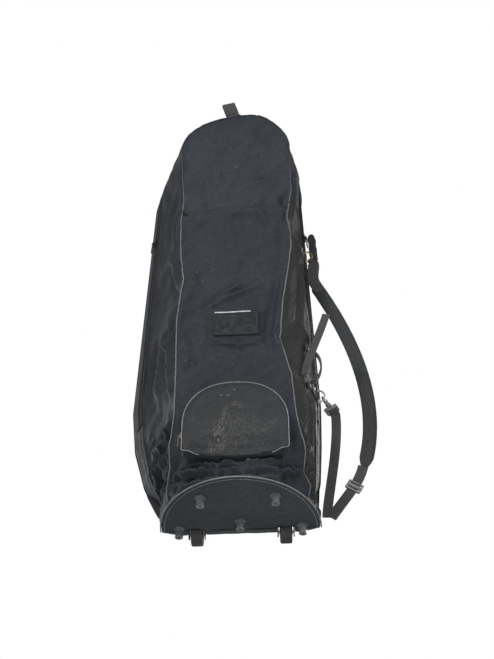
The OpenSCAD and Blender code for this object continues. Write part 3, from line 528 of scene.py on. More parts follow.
# ---- Materials ----
class Graph:
    """A small helper that builds a procedural material node by node."""

    def __init__(self, name):
        self.material = bpy.data.materials.new(name)
        self.material.use_nodes = True
        self.tree = self.material.node_tree
        self.shader = self.tree.nodes["Principled BSDF"]
        self.place = self.add("ShaderNodeTexCoord").outputs["Object"]

    def add(self, kind, inputs=None, **settings):
        node = self.tree.nodes.new(kind)
        for key, value in settings.items():
            setattr(node, key, value)
        for key, value in (inputs or {}).items():
            socket = node.inputs[key]
            if isinstance(value, bpy.types.NodeSocket):
                self.tree.links.new(value, socket)
            else:
                socket.default_value = value
        return node

    def math(self, kind, a, b=0.0, c=0.0):
        return self.add("ShaderNodeMath", {0: a, 1: b, 2: c}, operation=kind).outputs[0]

    def times(self, a, b):
        return self.math("MULTIPLY", a, b)

    def xyz(self):
        """The three coordinates of the shaded point."""
        return self.add("ShaderNodeSeparateXYZ", {0: self.place}).outputs

    def noise(self, scale, detail=3.0, rough=0.55, stretch=None, distortion=0.0):
        place = self.place
        if stretch:
            place = self.add("ShaderNodeVectorMath", {0: place, 1: stretch}, operation="MULTIPLY").outputs[0]
        return self.add("ShaderNodeTexNoise", {"Vector": place, "Scale": scale, "Detail": detail,
                                               "Roughness": rough, "Distortion": distortion}).outputs["Fac"]

    def ramp(self, value, low, high, a=0.0, b=1.0):
        ends = {"Value": value, "From Min": low, "From Max": high, "To Min": a, "To Max": b}
        return self.add("ShaderNodeMapRange", ends, interpolation_type="SMOOTHSTEP").outputs[0]

    def colour(self, fac, a, b):
        node = self.add("ShaderNodeMix", {"Factor": fac}, data_type="RGBA")
        for key, value in (("A", a), ("B", b)):
            socket = [s for s in node.inputs if s.name == key and s.type == "RGBA"][0]
            if isinstance(value, bpy.types.NodeSocket):
                self.tree.links.new(value, socket)
            else:
                socket.default_value = (*value, 1)
        return [s for s in node.outputs if s.type == "RGBA"][0]

    def bump(self, height, distance, strength=1.0, below=None):
        inputs = {"Height": height, "Distance": distance, "Strength": strength}
        if below is not None:
            inputs["Normal"] = below
        return self.add("ShaderNodeBump", inputs).outputs[0]

    def set(self, **values):
        for key, value in values.items():
            socket = self.shader.inputs[key.replace("_", " ")]
            if isinstance(value, bpy.types.NodeSocket):
                self.tree.links.new(value, socket)
            elif socket.type == "RGBA":
                socket.default_value = (*value, 1)
            else:
                socket.default_value = value

    def wave(self, value, pitch):
        return self.math("SINE", self.times(value, 2 * math.pi / pitch))

    def crossing(self, a, b):
        """Threads of two waves, over and under each other: 0 to 1."""
        return self.math("MULTIPLY_ADD", self.times(a, b), 0.5, 0.5)

    def weave(self, pitch):
        x, y, z = self.xyz()
        across = self.math("ADD", x, self.times(y, 0.83))
        return self.crossing(self.wave(across, pitch), self.wave(z, pitch))

    def recolour(self, fac, colour):
        """Mixes a colour over the material's own colour."""
        own = self.shader.inputs["Base Color"].links[0].from_socket
        self.set(Base_Color=self.colour(fac, own, colour))


def scaled(colour, k):
    return tuple(min(1.0, c * k) for c in colour)


def fabric(name, colour, pitch=0.0013, dust=0.25, worn=0.3, rough=0.74, crinkle=0.0014):
    """Woven cloth: cloudy fading, weave, lint, rubbed ridges and painted shade in the valleys. Pitch and
    crinkle in metres.
    """
    g = Graph(name)
    broad, cloud, fine = g.noise(5, 4), g.noise(38, 5, 0.6), g.noise(420, 3)
    weave = g.weave(pitch)
    tone = g.colour(g.ramp(broad, 0.35, 0.65), scaled(colour, 0.92), scaled(colour, 1.32))
    tone = g.colour(g.times(g.ramp(cloud, 0.42, 0.75), 0.6), tone, scaled(colour, 1.5))
    tone = g.colour(g.times(weave, 0.28), tone, scaled(colour, 0.62))
    tone = g.colour(g.ramp(g.noise(330, 2, 0.7), 0.36, 0.64), scaled(colour, 0.60), tone)
    lint = g.ramp(g.noise(160, 2, 0.5), 0.66, 0.74)
    lint = g.times(lint, g.times(g.ramp(g.noise(14, 3), 0.45, 0.7), dust))
    tone = g.colour(lint, tone, (0.34, 0.34, 0.33))
    edge = g.add("ShaderNodeNewGeometry").outputs["Pointiness"]
    rubbed = g.times(g.ramp(edge, 0.515, 0.60), g.times(g.ramp(cloud, 0.35, 0.6), worn))
    tone = g.colour(rubbed, tone, scaled(colour, 1.9))
    # Painted shade: the cloth is darkened where its pointiness is low, in the valleys of its folds.
    tone = g.colour(g.ramp(edge, 0.485, 0.42, 0.0, 0.45), tone, scaled(colour, 0.35))
    g.set(Base_Color=tone, Roughness=g.ramp(cloud, 0.3, 0.7, rough - 0.08, rough + 0.1),
          Sheen_Weight=0.04, Sheen_Roughness=0.45, Specular_IOR_Level=0.24)
    soft = g.bump(g.noise(60, 5, 0.62, distortion=0.6), crinkle)
    soft = g.bump(fine, 0.00015, below=soft)
    g.set(Normal=g.bump(weave, 0.00022, below=soft))
    return g


def webbing(name, colour, gloss=0.7):
    """Ribbed webbing. The strip attribute holds the place along and across it, set by sweep."""
    g = Graph(name)
    rib, cross = 0.0021, 0.0016
    strip = g.add("ShaderNodeAttribute", attribute_name="strip").outputs["Vector"]
    parts = g.add("ShaderNodeSeparateXYZ", {0: strip}).outputs
    lengthwise = g.wave(parts[1], rib)
    slant = g.math("ADD", parts[0], g.times(g.math("ABSOLUTE", lengthwise), cross * 0.3))
    thread = g.crossing(lengthwise, g.wave(slant, cross))
    cloud = g.noise(45, 4)
    tone = g.colour(g.ramp(cloud, 0.3, 0.7), scaled(colour, 0.75), scaled(colour, 1.3))
    tone = g.colour(g.times(thread, 0.5), tone, scaled(colour, 1.9))
    fuzz = g.ramp(g.noise(700, 2), 0.62, 0.7)
    tone = g.colour(g.times(fuzz, 0.18), tone, (0.42, 0.40, 0.37))
    g.set(Base_Color=tone, Roughness=gloss, Sheen_Weight=0.3, Specular_IOR_Level=0.45)
    g.set(Normal=g.bump(thread, 0.0004, below=g.bump(g.noise(90, 3), 0.0006)))
    return g


def plastic(name, colour, rough=0.25, grain=0.00008, scale=900, dust=0.2):
    g = Graph(name)
    cloud = g.noise(60, 4)
    scratch = g.ramp(g.noise(120, 4, 0.7, stretch=(1, 1, 9)), 0.62, 0.7)
    tone = g.colour(g.ramp(cloud, 0.35, 0.7), scaled(colour, 0.8), scaled(colour, 1.3))
    dirt = g.times(g.ramp(g.noise(25, 5, 0.65), 0.5, 0.72), dust)
    tone = g.colour(dirt, tone, (0.20, 0.19, 0.175))
    tone = g.colour(g.times(scratch, 0.25), tone, (0.25, 0.25, 0.25))
    g.set(Base_Color=tone, Roughness=g.math("ADD", g.ramp(cloud, 0.3, 0.7, rough * 0.8, rough * 1.3),
                                            g.times(dirt, 0.5)))
    g.set(Normal=g.bump(g.noise(scale, 3), grain, below=g.bump(scratch, 0.0001, 0.4)))
    return g


def metal(name, colour, rough=0.32, tarnish=(0.16, 0.13, 0.09), worn=0.35):
    g = Graph(name)
    cloud = g.noise(180, 4, 0.6)
    brushed = g.noise(220, 3, 0.6, stretch=(1, 1, 14))
    tone = g.colour(g.times(g.ramp(cloud, 0.48, 0.68), worn), colour, tarnish)
    tone = g.colour(g.times(brushed, 0.2), tone, scaled(colour, 1.35))
    g.set(Base_Color=tone, Metallic=0.92, Roughness=g.ramp(cloud, 0.3, 0.72, rough, rough + 0.28))
    g.set(Normal=g.bump(brushed, 0.00006, below=g.bump(cloud, 0.0001)))
    return g


# SHADED is the charcoal made darker for the side gussets, as painted shade.
CHARCOAL, SHADED = (0.0265, 0.0310, 0.0385), (0.0235, 0.0272, 0.0335)
CORD = dict(pitch=0.0011, worn=0.2, dust=0.2, crinkle=0.0003)
THREAD = dict(pitch=0.0006, crinkle=0.0001)
MAT = {
    "body": fabric("body_polyester", CHARCOAL),
    "yoke": fabric("yoke_polyester", scaled(CHARCOAL, 1.06)),
    "gusset": fabric("gusset_polyester", SHADED, worn=0.4),
    "right": fabric("right_gusset_polyester", (0.0440, 0.0430, 0.0420), worn=0.5),
    "back": fabric("back_polyester", (0.0290, 0.0330, 0.0390)),
    "base": fabric("base_polyester", (0.0520, 0.0625, 0.0700), pitch=0.0016, worn=0.2, dust=0.5),
    "pocket": fabric("pocket_polyester", (0.0345, 0.0370, 0.0390), worn=0.4, dust=0.5),
    "pad": fabric("pad_polyester", (0.0400, 0.0425, 0.0450), worn=0.5),
    "foam": fabric("padding_cloth", (0.025, 0.025, 0.028)),
    "piping": fabric("panel_piping_cord", (0.165, 0.170, 0.178), **CORD),
    "bright": fabric("base_piping_cord", (0.245, 0.252, 0.262), **CORD),
    "tape": fabric("zip_tape_cloth", (0.011, 0.011, 0.013), pitch=0.0009, worn=0.3),
    "coil": plastic("zip_coil", (0.010, 0.010, 0.012), rough=0.6, dust=0.1),
    "web": webbing("strap_webbing", (0.0210, 0.0208, 0.0205)),
    "loop": webbing("loop_webbing", (0.0100, 0.0105, 0.0115)),
    "cord": webbing("handle_webbing", (0.010, 0.010, 0.011), gloss=0.5),
    "thread": fabric("sewing_thread", (0.050, 0.053, 0.058), **THREAD),
    "dark_thread": fabric("dark_thread", (0.018, 0.018, 0.020), **THREAD),
    "trim": fabric("card_trim", (0.0235, 0.0275, 0.0345), pitch=0.0010, worn=0.3, rough=0.6),
    "brass": metal("worn_brass", (0.62, 0.44, 0.20)),
    "nickel": metal("plated_steel", (0.56, 0.55, 0.52), rough=0.26),
    "dark_metal": metal("dark_zip_metal", (0.10, 0.095, 0.085), rough=0.36, tarnish=(0.34, 0.31, 0.27),
                        worn=0.5),
    "zinc": metal("zinc_screws", (0.48, 0.48, 0.49)),
    # The glossy plastic's light grey is partly its own grey and partly painted highlight for the bright rims
    # of the feet.
    "gloss": plastic("glossy_foot_plastic", (0.165, 0.168, 0.173), rough=0.16, dust=0.5),
    "matte": plastic("housing_plastic", (0.014, 0.014, 0.016), rough=0.5, grain=0.0003, scale=600,
                     dust=0.35),
    "hub": plastic("hub_plastic", (0.022, 0.022, 0.024), rough=0.42, dust=0.5),
    "board": plastic("base_board_plastic", (0.020, 0.020, 0.020), rough=0.6),
    "tyre": plastic("tyre_rubber", (0.034, 0.034, 0.036), rough=0.6, grain=0.0002, scale=500, dust=0.55),
    # The card pocket's edge strip is pale as painted highlight, for the glint on its vinyl opening.
    "painted_glint": plastic("edge_strip_painted_glint", (0.47, 0.50, 0.53), rough=0.25, dust=0.35),
}
MAT["film"] = plastic("clear_window_film", (0.030, 0.034, 0.040), rough=0.34, grain=0.0002, scale=120,
                      dust=0.06)
MAT["film"].set(Alpha=0.55, Specular_IOR_Level=0.25)

# The panels' piping is darker in long patches, and most of all over the hood.
g = MAT["piping"]
piping_darkening = g.ramp(g.noise(7, 3, 0.6), 0.54, 0.66)
piping_darkening = g.math("MAXIMUM", g.times(piping_darkening, 0.45), g.ramp(g.xyz()[2], 0.86, 1.12, 0.0, 0.88))
g.recolour(piping_darkening, (0.030, 0.032, 0.036))
# The right gusset is lighter and browner below than above, where it turns into the gussets' shaded colour; the
# extra lightness below is painted light.
g = MAT["right"]
g.recolour(g.ramp(g.xyz()[2], 0.86, 1.14), SHADED)
# Rubbed marks on the front pocket: upright streaks left of its middle and smears.
# x, z, half width, half height, lean, strength
SCUFFS = [(-0.028, 0.190, 0.013, 0.060, 0.20, 0.42), (-0.036, 0.140, 0.018, 0.050, -0.20, 0.46),
          (-0.050, 0.105, 0.024, 0.018, 0.0, 0.36), (0.004, 0.235, 0.020, 0.018, -0.3, 0.30),
          (-0.010, 0.150, 0.085, 0.075, 0.1, 0.18), (0.080, 0.165, 0.016, 0.030, 0.6, 0.22)]
g = MAT["pocket"]
ragged = g.ramp(g.noise(260, 6, 0.8, stretch=(1, 1, 0.5)), 0.47, 0.66)
for x, z, half_x, half_z, lean, strength in SCUFFS:
    rise = g.math("SUBTRACT", g.xyz()[2], z)
    dx = g.math("SUBTRACT", g.math("SUBTRACT", g.xyz()[0], x), g.times(rise, lean))
    dx, dz = g.math("DIVIDE", dx, half_x), g.math("DIVIDE", rise, half_z)
    far = g.math("ADD", g.times(dx, dx), g.times(dz, dz))
    g.recolour(g.times(g.times(g.ramp(far, 1.0, 0.1), ragged), strength), (0.30, 0.29, 0.27))


def paint(obj, material):
    obj.data.materials.clear()
    obj.data.materials.append(MAT[material].material)


def finish(obj, material, body, slot, *replaced):
    """Gives a piece its material and its body, and hides the CAD solids that it takes the place of. Its slot
    is not used.
    """
    paint(obj, material)
    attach(obj, body)
    if replaced:
        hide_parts(*replaced)
    return obj


# ---- The fabric body ----
LOOP_AT, LOOP_WIDE = joint("top_loop_swing")
FLANK_LEN = ARCH_Z - CLOTH_Z
ARCH_LEN = 0.52
GUSSET_W = 0.24
# The flattened gusset: u runs along it as t does (see hoop), in metres.
U_KNOTS = [0, FLANK_LEN, FLANK_LEN + ARCH_LEN, 2 * FLANK_LEN + ARCH_LEN]
T_KNOTS = [0, 1, 2, 3]
n_flank, n_arch = round(FLANK_LEN / STEP), round(ARCH_LEN / STEP)
hoop_t = np.concatenate([np.linspace(0, 1, n_flank + 1), np.linspace(1, 2, n_arch + 1)[1:],
                         np.linspace(2, 3, n_flank + 1)[1:]])
hoop_u = np.interp(hoop_t, T_KNOTS, U_KNOTS)


def edge_flat(t):
    """The front edge's place in the flat front panel, as x and z."""
    h = np.where(t <= 1, t, np.where(t >= 2, 3 - t, 1))
    z = CLOTH_Z + h * FLANK_LEN
    side = np.where(t < 1.5, -1.0, 1.0)
    a = math.pi * (2 - t)
    over = (t > 1) & (t < 2)
    x = np.where(over, PANEL_HALF * np.cos(a), side * half_width(z))
    return np.stack([x, np.where(over, ARCH_Z + PANEL_HALF * np.sin(a), z)], -1)


def yoke_line(x):
    """The height of the cross seam, which climbs a little to the right."""
    return YOKE_Z + 0.035 * x


def flat(x, y):
    """Flat points from two coordinates, either of which may be one number."""
    return np.stack(np.broadcast_arrays(x, y), -1).astype(float)


rim = edge_flat(hoop_t)
foot_half = float(half_width(np.array(CLOTH_Z)))
bottom = flat(np.linspace(foot_half, -foot_half, round(2 * foot_half / STEP) + 1)[1:-1], CLOTH_Z)
seam_x = np.linspace(-1, 1, 36)[1:-1] * (PANEL_HALF - 0.004)
front_2d, front_f = plate([np.vstack([rim, bottom])], STEP, lines=[flat(seam_x, yoke_line(seam_x))], seed=3)
front_3d = front_point(front_2d[:, 0], front_2d[:, 1])

v_top = GUSSET_W * SOFT_V
rise = np.linspace(0, v_top, round(v_top / STEP) + 1)[1:-1]
around_side = np.vstack([flat(hoop_u, 0), flat(hoop_u[-1], rise), flat(hoop_u[::-1], v_top),
                         flat(0, np.linspace(v_top, 0, len(rise) + 2)[1:-1])])
side_2d, side_f = plate([around_side], STEP, lines=[flat(u, rise) for u in U_KNOTS[1:3]], seed=5)
side_t, side_v = np.interp(side_2d[:, 0], U_KNOTS, T_KNOTS), side_2d[:, 1] / GUSSET_W
side_3d = hoop(side_t, side_v)

def search_tree(points):
    """Finds the nearest of many points."""
    tree = kdtree.KDTree(len(points))
    for i, p in enumerate(points):
        tree.insert(p, i)
    tree.balance()
    return tree


# One cloth: the gusset's front edge is sewn to the panel's edge.
tree = search_tree(front_3d)
joined = np.arange(len(side_3d)) + len(front_3d)
for i in np.where(side_v < 1e-4)[0]:
    _, j, dist = tree.find(side_3d[i])
    if dist < 0.002:
        joined[i] = j
cloth_v = np.vstack([front_3d, side_3d])
cloth_f = np.vstack([front_f, joined[side_f]])
shell = make("shell", cloth_v, cloth_f)

# How firmly each point is held: the front edge and the cross seam may still move a little.
EDGE_HOLD, SEAM_HOLD = 0.9, 0.55
front_edge = edge_distance(front_2d, rim) < 1e-4
at_seam = np.abs(front_2d[:, 1] - yoke_line(front_2d[:, 0])) < 1e-4
front_pins = np.where(front_edge, EDGE_HOLD, np.where(at_seam, SEAM_HOLD, 0.0))
front_pins[front_2d[:, 1] < CLOTH_Z + 1e-4] = 1.0
side_pins = (side_v > SOFT_V - 0.004) | (side_t < 1e-4) | (side_t > 3 - 1e-4)
pins = np.concatenate([front_pins, side_pins.astype(float)])

# Where something is sewn to the right gusset, as y and z: the cloth lies flat there.
SEWN = [(-0.040, 0.385), (-0.040, 0.503), (0.002, 0.404), (0.002, 0.872), (-0.088, 0.385), (0.030, 0.404),
        (0.030, 0.872)]


def flat_where_sewn(p):
    """0 where something is sewn to the right gusset, 1 away from it."""
    near = np.min([np.hypot(p[:, 1] - y, p[:, 2] - z) for y, z in SEWN], axis=0)
    return np.where(p[:, 0] > 0.12, smooth((near - 0.014) / 0.030), 1.0)


def flat_at_loop(p):
    """0 where the top loop is sewn to the crown, 1 away from it."""
    return smooth((np.linalg.norm(p - LOOP_AT, axis=1) - 0.026) / 0.030)


CARD_W, CARD_H, CARD_Z = 0.114, 0.078, 0.520


def keep_flat(x, z):
    """1 where the panel is free, 0 under the sewn pockets."""
    card = np.maximum(np.abs(x) / 0.062, np.abs(z - CARD_Z) / 0.045)
    bag = np.maximum(np.abs(x) / 0.122, np.abs(z - 0.185) / 0.110)
    under = smooth((0.092 - z) / 0.014)
    return np.maximum(smooth((np.minimum(card, bag) - 0.85) / 0.5), under)


before = coords(shell)
drape(shell, pins, frames=24, grow=0.030, pressure=0.35, bend=2.5, cap=0.016, mass=0.2,
      pull=(0, 1.2, -0.4))
moved = coords(shell) - before
free = np.concatenate([keep_flat(front_2d[:, 0], front_2d[:, 1]),
                       flat_where_sewn(side_3d) * flat_at_loop(side_3d)])
on_side = np.arange(len(cloth_v)) >= len(front_3d)
# The gussets keep only their broad folds, and those a little larger.
moved = np.where(on_side[:, None], 1.5 * calmed(moved, cloth_f, 14), calmed(moved, cloth_f, 3))
set_coords(shell, before + moved * free[:, None] * (pins < 0.99)[:, None])
draped = coords(shell)

# Creases of the front panel: points as x, z; height; width.
FRONT_FOLDS = [
    ([(-0.105, 0.575), (-0.060, 0.600), (0.000, 0.650), (0.030, 0.680)], 0.0090, 0.0070),
    ([(-0.080, 0.580), (-0.020, 0.615), (0.030, 0.640), (0.075, 0.670)], 0.0085, 0.0065),
    ([(0.045, 1.034), (0.080, 1.050), (0.118, 1.058)], 0.0075, 0.0065),
    ([(0.068, 0.990), (0.060, 0.930), (0.078, 0.870)], 0.0080, 0.0110),
    ([(0.108, 0.990), (0.116, 0.935), (0.128, 0.890)], 0.0080, 0.0090),
    ([(-0.140, 0.520), (-0.120, 0.440), (-0.135, 0.360)], 0.0060, 0.0100),
    ([(-0.060, 0.430), (0.000, 0.418), (0.050, 0.428)], 0.0055, 0.0080),
    ([(0.140, 1.090), (0.134, 0.995), (0.100, 0.955), (0.060, 0.940)], 0.0060, 0.012),
    ([(0.135, 0.935), (0.120, 0.890), (0.138, 0.840)], 0.0065, 0.010),
    ([(0.095, 0.900), (0.100, 0.850), (0.092, 0.790)], 0.0045, 0.014),
    ([(-0.050, 0.468), (0.008, 0.454), (0.062, 0.466)], 0.0080, 0.007),
    ([(0.116, 0.400), (0.100, 0.490), (0.112, 0.590), (0.134, 0.700), (0.146, 0.800)], 0.0150, 0.012),
    ([(-0.135, 0.760), (-0.110, 0.690), (-0.128, 0.610)], 0.0060, 0.014),
    ([(-0.130, 0.980), (-0.090, 0.960), (-0.040, 0.985)], 0.0035, 0.014),
    ([(-0.100, 0.860), (-0.030, 0.800), (0.060, 0.790)], 0.0035, 0.016),
    ([(-0.020, 0.760), (0.060, 0.740), (0.120, 0.770)], 0.0040, 0.013),
    ([(-0.110, 0.440), (-0.060, 0.405), (0.000, 0.400)], 0.0040, 0.012),
    ([(0.020, 0.395), (0.070, 0.365), (0.120, 0.380)], 0.0045, 0.011),
    ([(-0.120, 0.340), (-0.095, 0.400), (-0.100, 0.470)], 0.0045, 0.012),
    ([(0.160, 0.088), (0.090, 0.078), (0.020, 0.066), (-0.060, 0.070), (-0.150, 0.090)], 0.0150, 0.0085),
    ([(0.165, 0.062), (0.085, 0.058), (0.000, 0.050), (-0.080, 0.052), (-0.130, 0.060)], 0.0150, 0.0070),
    ([(0.160, 0.078), (0.120, 0.060), (0.095, 0.038)], 0.0120, 0.0060),
    ([(-0.060, 0.042), (-0.110, 0.056), (-0.155, 0.084)], 0.0110, 0.0065),
    ([(-0.165, 0.050), (-0.140, 0.075), (-0.120, 0.110)], 0.0090, 0.0070),
    ([(-0.150, 0.090), (-0.142, 0.150), (-0.136, 0.240)], 0.0080, 0.010),
    ([(-0.140, 0.240), (-0.128, 0.310), (-0.120, 0.380)], 0.0060, 0.011),
    ([(0.150, 0.090), (0.140, 0.160), (0.136, 0.250)], 0.0090, 0.010),
    ([(0.140, 0.130), (0.156, 0.190), (0.140, 0.270)], 0.0050, 0.008),
    ([(-0.090, 1.230), (-0.050, 1.190), (0.010, 1.180)], 0.0030, 0.014),
    ([(0.030, 1.240), (0.070, 1.200), (0.090, 1.140)], 0.0035, 0.014),
]
# Creases of the side gussets: points as y, z.
LEFT_FOLDS = [
    ([(-0.105, 1.120), (-0.085, 1.010), (-0.060, 0.900), (-0.050, 0.820)], 0.0150, 0.016),
    ([(-0.120, 0.990), (-0.095, 0.930), (-0.090, 0.860), (-0.115, 0.790)], 0.0120, 0.010),
    ([(-0.020, 0.850), (-0.060, 0.780), (-0.070, 0.700), (-0.110, 0.650)], 0.0150, 0.014),
    ([(-0.095, 0.640), (-0.070, 0.520), (-0.085, 0.400), (-0.110, 0.300)], 0.0150, 0.014),
    ([(-0.020, 0.600), (-0.005, 0.470), (-0.030, 0.340)], 0.0110, 0.014),
    ([(-0.120, 0.560), (-0.080, 0.500), (-0.020, 0.470)], 0.0090, 0.009),
    ([(-0.130, 0.260), (-0.060, 0.215), (0.020, 0.235)], 0.0160, 0.012),
    ([(-0.140, 0.190), (-0.060, 0.150), (0.025, 0.170)], 0.0160, 0.011),
    ([(-0.145, 0.125), (-0.060, 0.095), (0.010, 0.110)], 0.0130, 0.009),
    ([(-0.150, 0.080), (-0.090, 0.065), (-0.030, 0.070)], 0.0080, 0.007),
    ([(-0.020, 1.090), (0.010, 0.990), (0.020, 0.880)], 0.0090, 0.014),
]
RIGHT_FOLDS = [
    ([(-0.125, 0.860), (-0.085, 0.740), (-0.080, 0.600), (-0.105, 0.470)], 0.0150, 0.014),
    ([(-0.050, 0.900), (-0.025, 0.780), (-0.040, 0.660)], 0.0110, 0.013),
    ([(-0.060, 0.600), (-0.020, 0.520), (-0.030, 0.420)], 0.0100, 0.012),
    ([(-0.120, 0.420), (-0.080, 0.330), (-0.085, 0.230)], 0.0130, 0.012),
    ([(-0.150, 0.230), (-0.080, 0.190), (0.010, 0.205)], 0.0120, 0.010),
    ([(-0.150, 0.170), (-0.080, 0.135), (0.010, 0.155)], 0.0150, 0.010),
    ([(-0.150, 0.115), (-0.080, 0.085), (0.010, 0.100)], 0.0140, 0.009),
    ([(-0.150, 0.075), (-0.100, 0.055), (-0.050, 0.058)], 0.0080, 0.006),
    ([(-0.095, 1.110), (-0.060, 1.010), (-0.040, 0.930)], 0.0110, 0.014),
    ([(-0.120, 1.010), (-0.100, 0.930), (-0.120, 0.880)], 0.0110, 0.010),
    ([(-0.040, 0.330), (0.000, 0.270), (0.020, 0.220)], 0.0080, 0.011),
]


def part_of(chosen, name):
    faces = cloth_f[chosen]
    used, back = np.unique(faces, return_inverse=True)
    return make(name, draped[used], back.reshape(faces.shape))


def finer_below(obj, height):
    """Splits the lowest faces once more, where the cloth is crumpled most."""
    bm = bmesh.new()
    bm.from_mesh(obj.data)
    low = [e for e in bm.edges if all(v.co.z < height for v in e.verts)]
    bmesh.ops.subdivide_edges(bm, edges=low, cuts=1, use_grid_fill=True)
    bm.to_mesh(obj.data)
    bm.free()


def crumpled(co, low, high, pitch, height, seed):
    """Sharp wavering creases that run across, between two heights."""
    phase = co[:, 2] / pitch + 0.9 * noise(co * [1, 1, 0.5], 0.11, seed, 2)
    ridge = (1 - np.abs(np.sin(math.pi * phase))) ** 1.6 - 0.35
    rise = smooth((co[:, 2] - low) / (0.3 * (high - low))) * smooth((high - co[:, 2]) / (0.4 * (high - low)))
    return height * rise * ridge * (0.65 + 0.5 * noise(co, 0.09, seed + 1, 2))


def creased(points, folds):
    return sum((fold(points, *crease) for crease in folds), np.zeros(len(points)))


def refine(obj, folds, axes, toward, soft, seed, row=None, calm=None):
    """Adds the creases, a crumpled row and small unevenness at twice the simulation's fineness."""
    subdivide(obj)
    if row:
        finer_below(obj, row[1])
    face_toward(obj, toward)
    co, no = coords(obj), normals(obj)
    h = creased(co[:, axes], folds)
    for weight, size, more in ((2.2, 0.210, 2), (0.6, 0.075, 0), (0.12, 0.020, 1)):
        h += weight * soft * noise(co, size, seed + more)
    if row:
        h += crumpled(co, *row, seed)
    set_coords(obj, co + no * (calm(co) * h if calm else h)[:, None])
    obj.data.shade_smooth()
    return obj


edge_line = draped[[int(np.argmin(np.sum((front_2d - p) ** 2, axis=1))) for p in rim]]
edge_tree = search_tree(edge_line)


def off_edge(co, reach):
    """0 on the sewn front edge, 1 at the reach and beyond it."""
    return smooth(np.array([edge_tree.find(p)[2] for p in co]) / reach)


def calm_front(co):
    """How far creases may rise: they die out at the sewn edges and seam and under the pockets."""
    x, z = co[:, 0] - lean_at((co[:, 2] - ARCH_Z) / PANEL_HALF), co[:, 2]
    low = smooth((z - CLOTH_Z) / 0.008)
    off_seam = mix(0.15, 1.0, smooth(np.abs(z - yoke_line(x)) / 0.014))
    return off_edge(co, 0.016) * keep_flat(x, z) * low * off_seam


def calm_gusset(co):
    back = smooth((0.045 - co[:, 1]) / 0.030)
    low = smooth((co[:, 2] - CLOTH_Z) / 0.020)
    return 1.25 * back * low * flat_where_sewn(co) * flat_at_loop(co) * off_edge(co, 0.014)


mid_front, mid_u = front_2d[front_f].mean(1), side_2d[side_f][:, :, 0].mean(1)
above = mid_front[:, 1] > yoke_line(mid_front[:, 0])
no_front, no_side = np.zeros(len(front_f), bool), np.zeros(len(side_f), bool)
on_left, on_right = mid_u < U_KNOTS[1], mid_u > U_KNOTS[2]
FRONT = dict(axes=[0, 2], toward=(0, -1, 0), soft=0.0027, seed=11, calm=calm_front)
SIDE = dict(axes=[1, 2], soft=0.0017, seed=13, calm=calm_gusset)
# Name, which faces, creases, settings, material, slot, CAD node. A row is crumpled from its first height
# to its second, with a pitch and a height.
PANELS = [
    ("front_cloth", (~above, no_side), FRONT_FOLDS, dict(FRONT, row=(0.028, 0.105, 0.028, 0.0150)),
     "body", "body_fabric", "front_panel"),
    ("yoke_cloth", (above, no_side), FRONT_FOLDS, FRONT, "yoke", "body_fabric", "yoke_panel"),
    ("left_gusset_cloth", (no_front, on_left), LEFT_FOLDS,
     dict(SIDE, toward=(-1, -0.5, 0), row=(0.040, 0.290, 0.046, 0.0120)),
     "gusset", "gusset_fabric", "left_gusset"),
    ("right_gusset_cloth", (no_front, on_right), RIGHT_FOLDS,
     dict(SIDE, toward=(1, -0.3, 0), row=(0.035, 0.240, 0.038, 0.0120)),
     "right", "gusset_fabric", "right_gusset"),
    ("top_gusset_cloth", (no_front, ~on_left & ~on_right), [], dict(SIDE, toward=(0, -0.2, 1)),
     "gusset", "body_fabric", "top_gusset"),
]
cloths = {}
for name, chosen, folds, settings, material, slot, node in PANELS:
    cloth = refine(part_of(np.concatenate(chosen), name), folds, **settings)
    cloths[name] = finish(thicken(cloth), material, "case", slot, node)
bpy.data.objects.remove(shell)
yoke = cloths["yoke_cloth"]


def on_cloth(obj, points, toward, lift):
    """Drops points onto a finished cloth along a direction and lifts them off it."""
    deps = bpy.context.evaluated_depsgraph_get()
    d = Vector(toward).normalized()
    out = []
    for p in points:
        start = Vector(p) - d * 0.08
        hit, place, *_ = obj.evaluated_get(deps).ray_cast(start, d)
        out.append(tuple((place if hit else Vector(p)) - d * lift))
    return np.array(out)


# Piping round the front, on the draped edge.
bearing = np.where(hoop_t < 1, math.pi, np.where(hoop_t > 2, 0, math.pi * (2 - hoop_t)))
piping_path = edge_line + unit(xyz(np.cos(bearing), -0.8, np.sin(bearing))) * 0.0014
piping_path = piping_path[piping_path[:, 2] > 0.034]
finish(cord("panel_piping_cord", piping_path, 0.0016), "piping", "case", "piping", "panel_piping")

# Yoke seam: a thin turned edge, a dark line under it and a row of stitching above it.
UP, BACKWARD, FORWARD = (0, 0, 1.0), (0, 1.0, 0), (0, -1.0, 0)
seam_x = np.linspace(-1, 1, 90) * (PANEL_HALF - 0.002)
seam_line = on_cloth(yoke, xyz(seam_x, -0.12, yoke_line(seam_x) + 0.0010), BACKWARD, 0.0)
finish(sweep("yoke_seam_fold", seam_line, UP, band_section(0.0036, 0.0013, cols=8)), "yoke", "case",
       "body_fabric")
finish(cord("yoke_seam_shadow", seam_line - [0, 0.0001, 0.0019], 0.0005, sides=6), "dark_thread", "case",
       "body_fabric")
above_seam = on_cloth(yoke, seam_line + [0, 0, 0.0050], BACKWARD, 0.0003)
finish(stitches("yoke_stitching", [above_seam]), "thread", "case", "body_fabric")


def grid_faces(rows, cols):
    return [(i * cols + j, (i + 1) * cols + j, (i + 1) * cols + j + 1, i * cols + j + 1)
            for i in range(rows - 1) for j in range(cols - 1)]


def strip_mesh(name, t0, t1, v0, v1, rows, cols, lift):
    """A strip of the gusset, raised a little off its surface."""
    t, v = np.meshgrid(np.linspace(t0, t1, rows), np.linspace(v0, v1, cols), indexing="ij")
    n = hoop_normal(np.where(t < 0.02, 0.03, np.where(t > 2.98, 2.97, t)), v)
    if np.mean(n[:, :, 2][(t > 1.3) & (t < 1.7)]) < 0:
        n = -n
    obj = make(name, (hoop(t, v) + n * lift).reshape(-1, 3), grid_faces(rows, cols))
    face_toward(obj, coords(obj) - BODY_MIDDLE)
    return obj


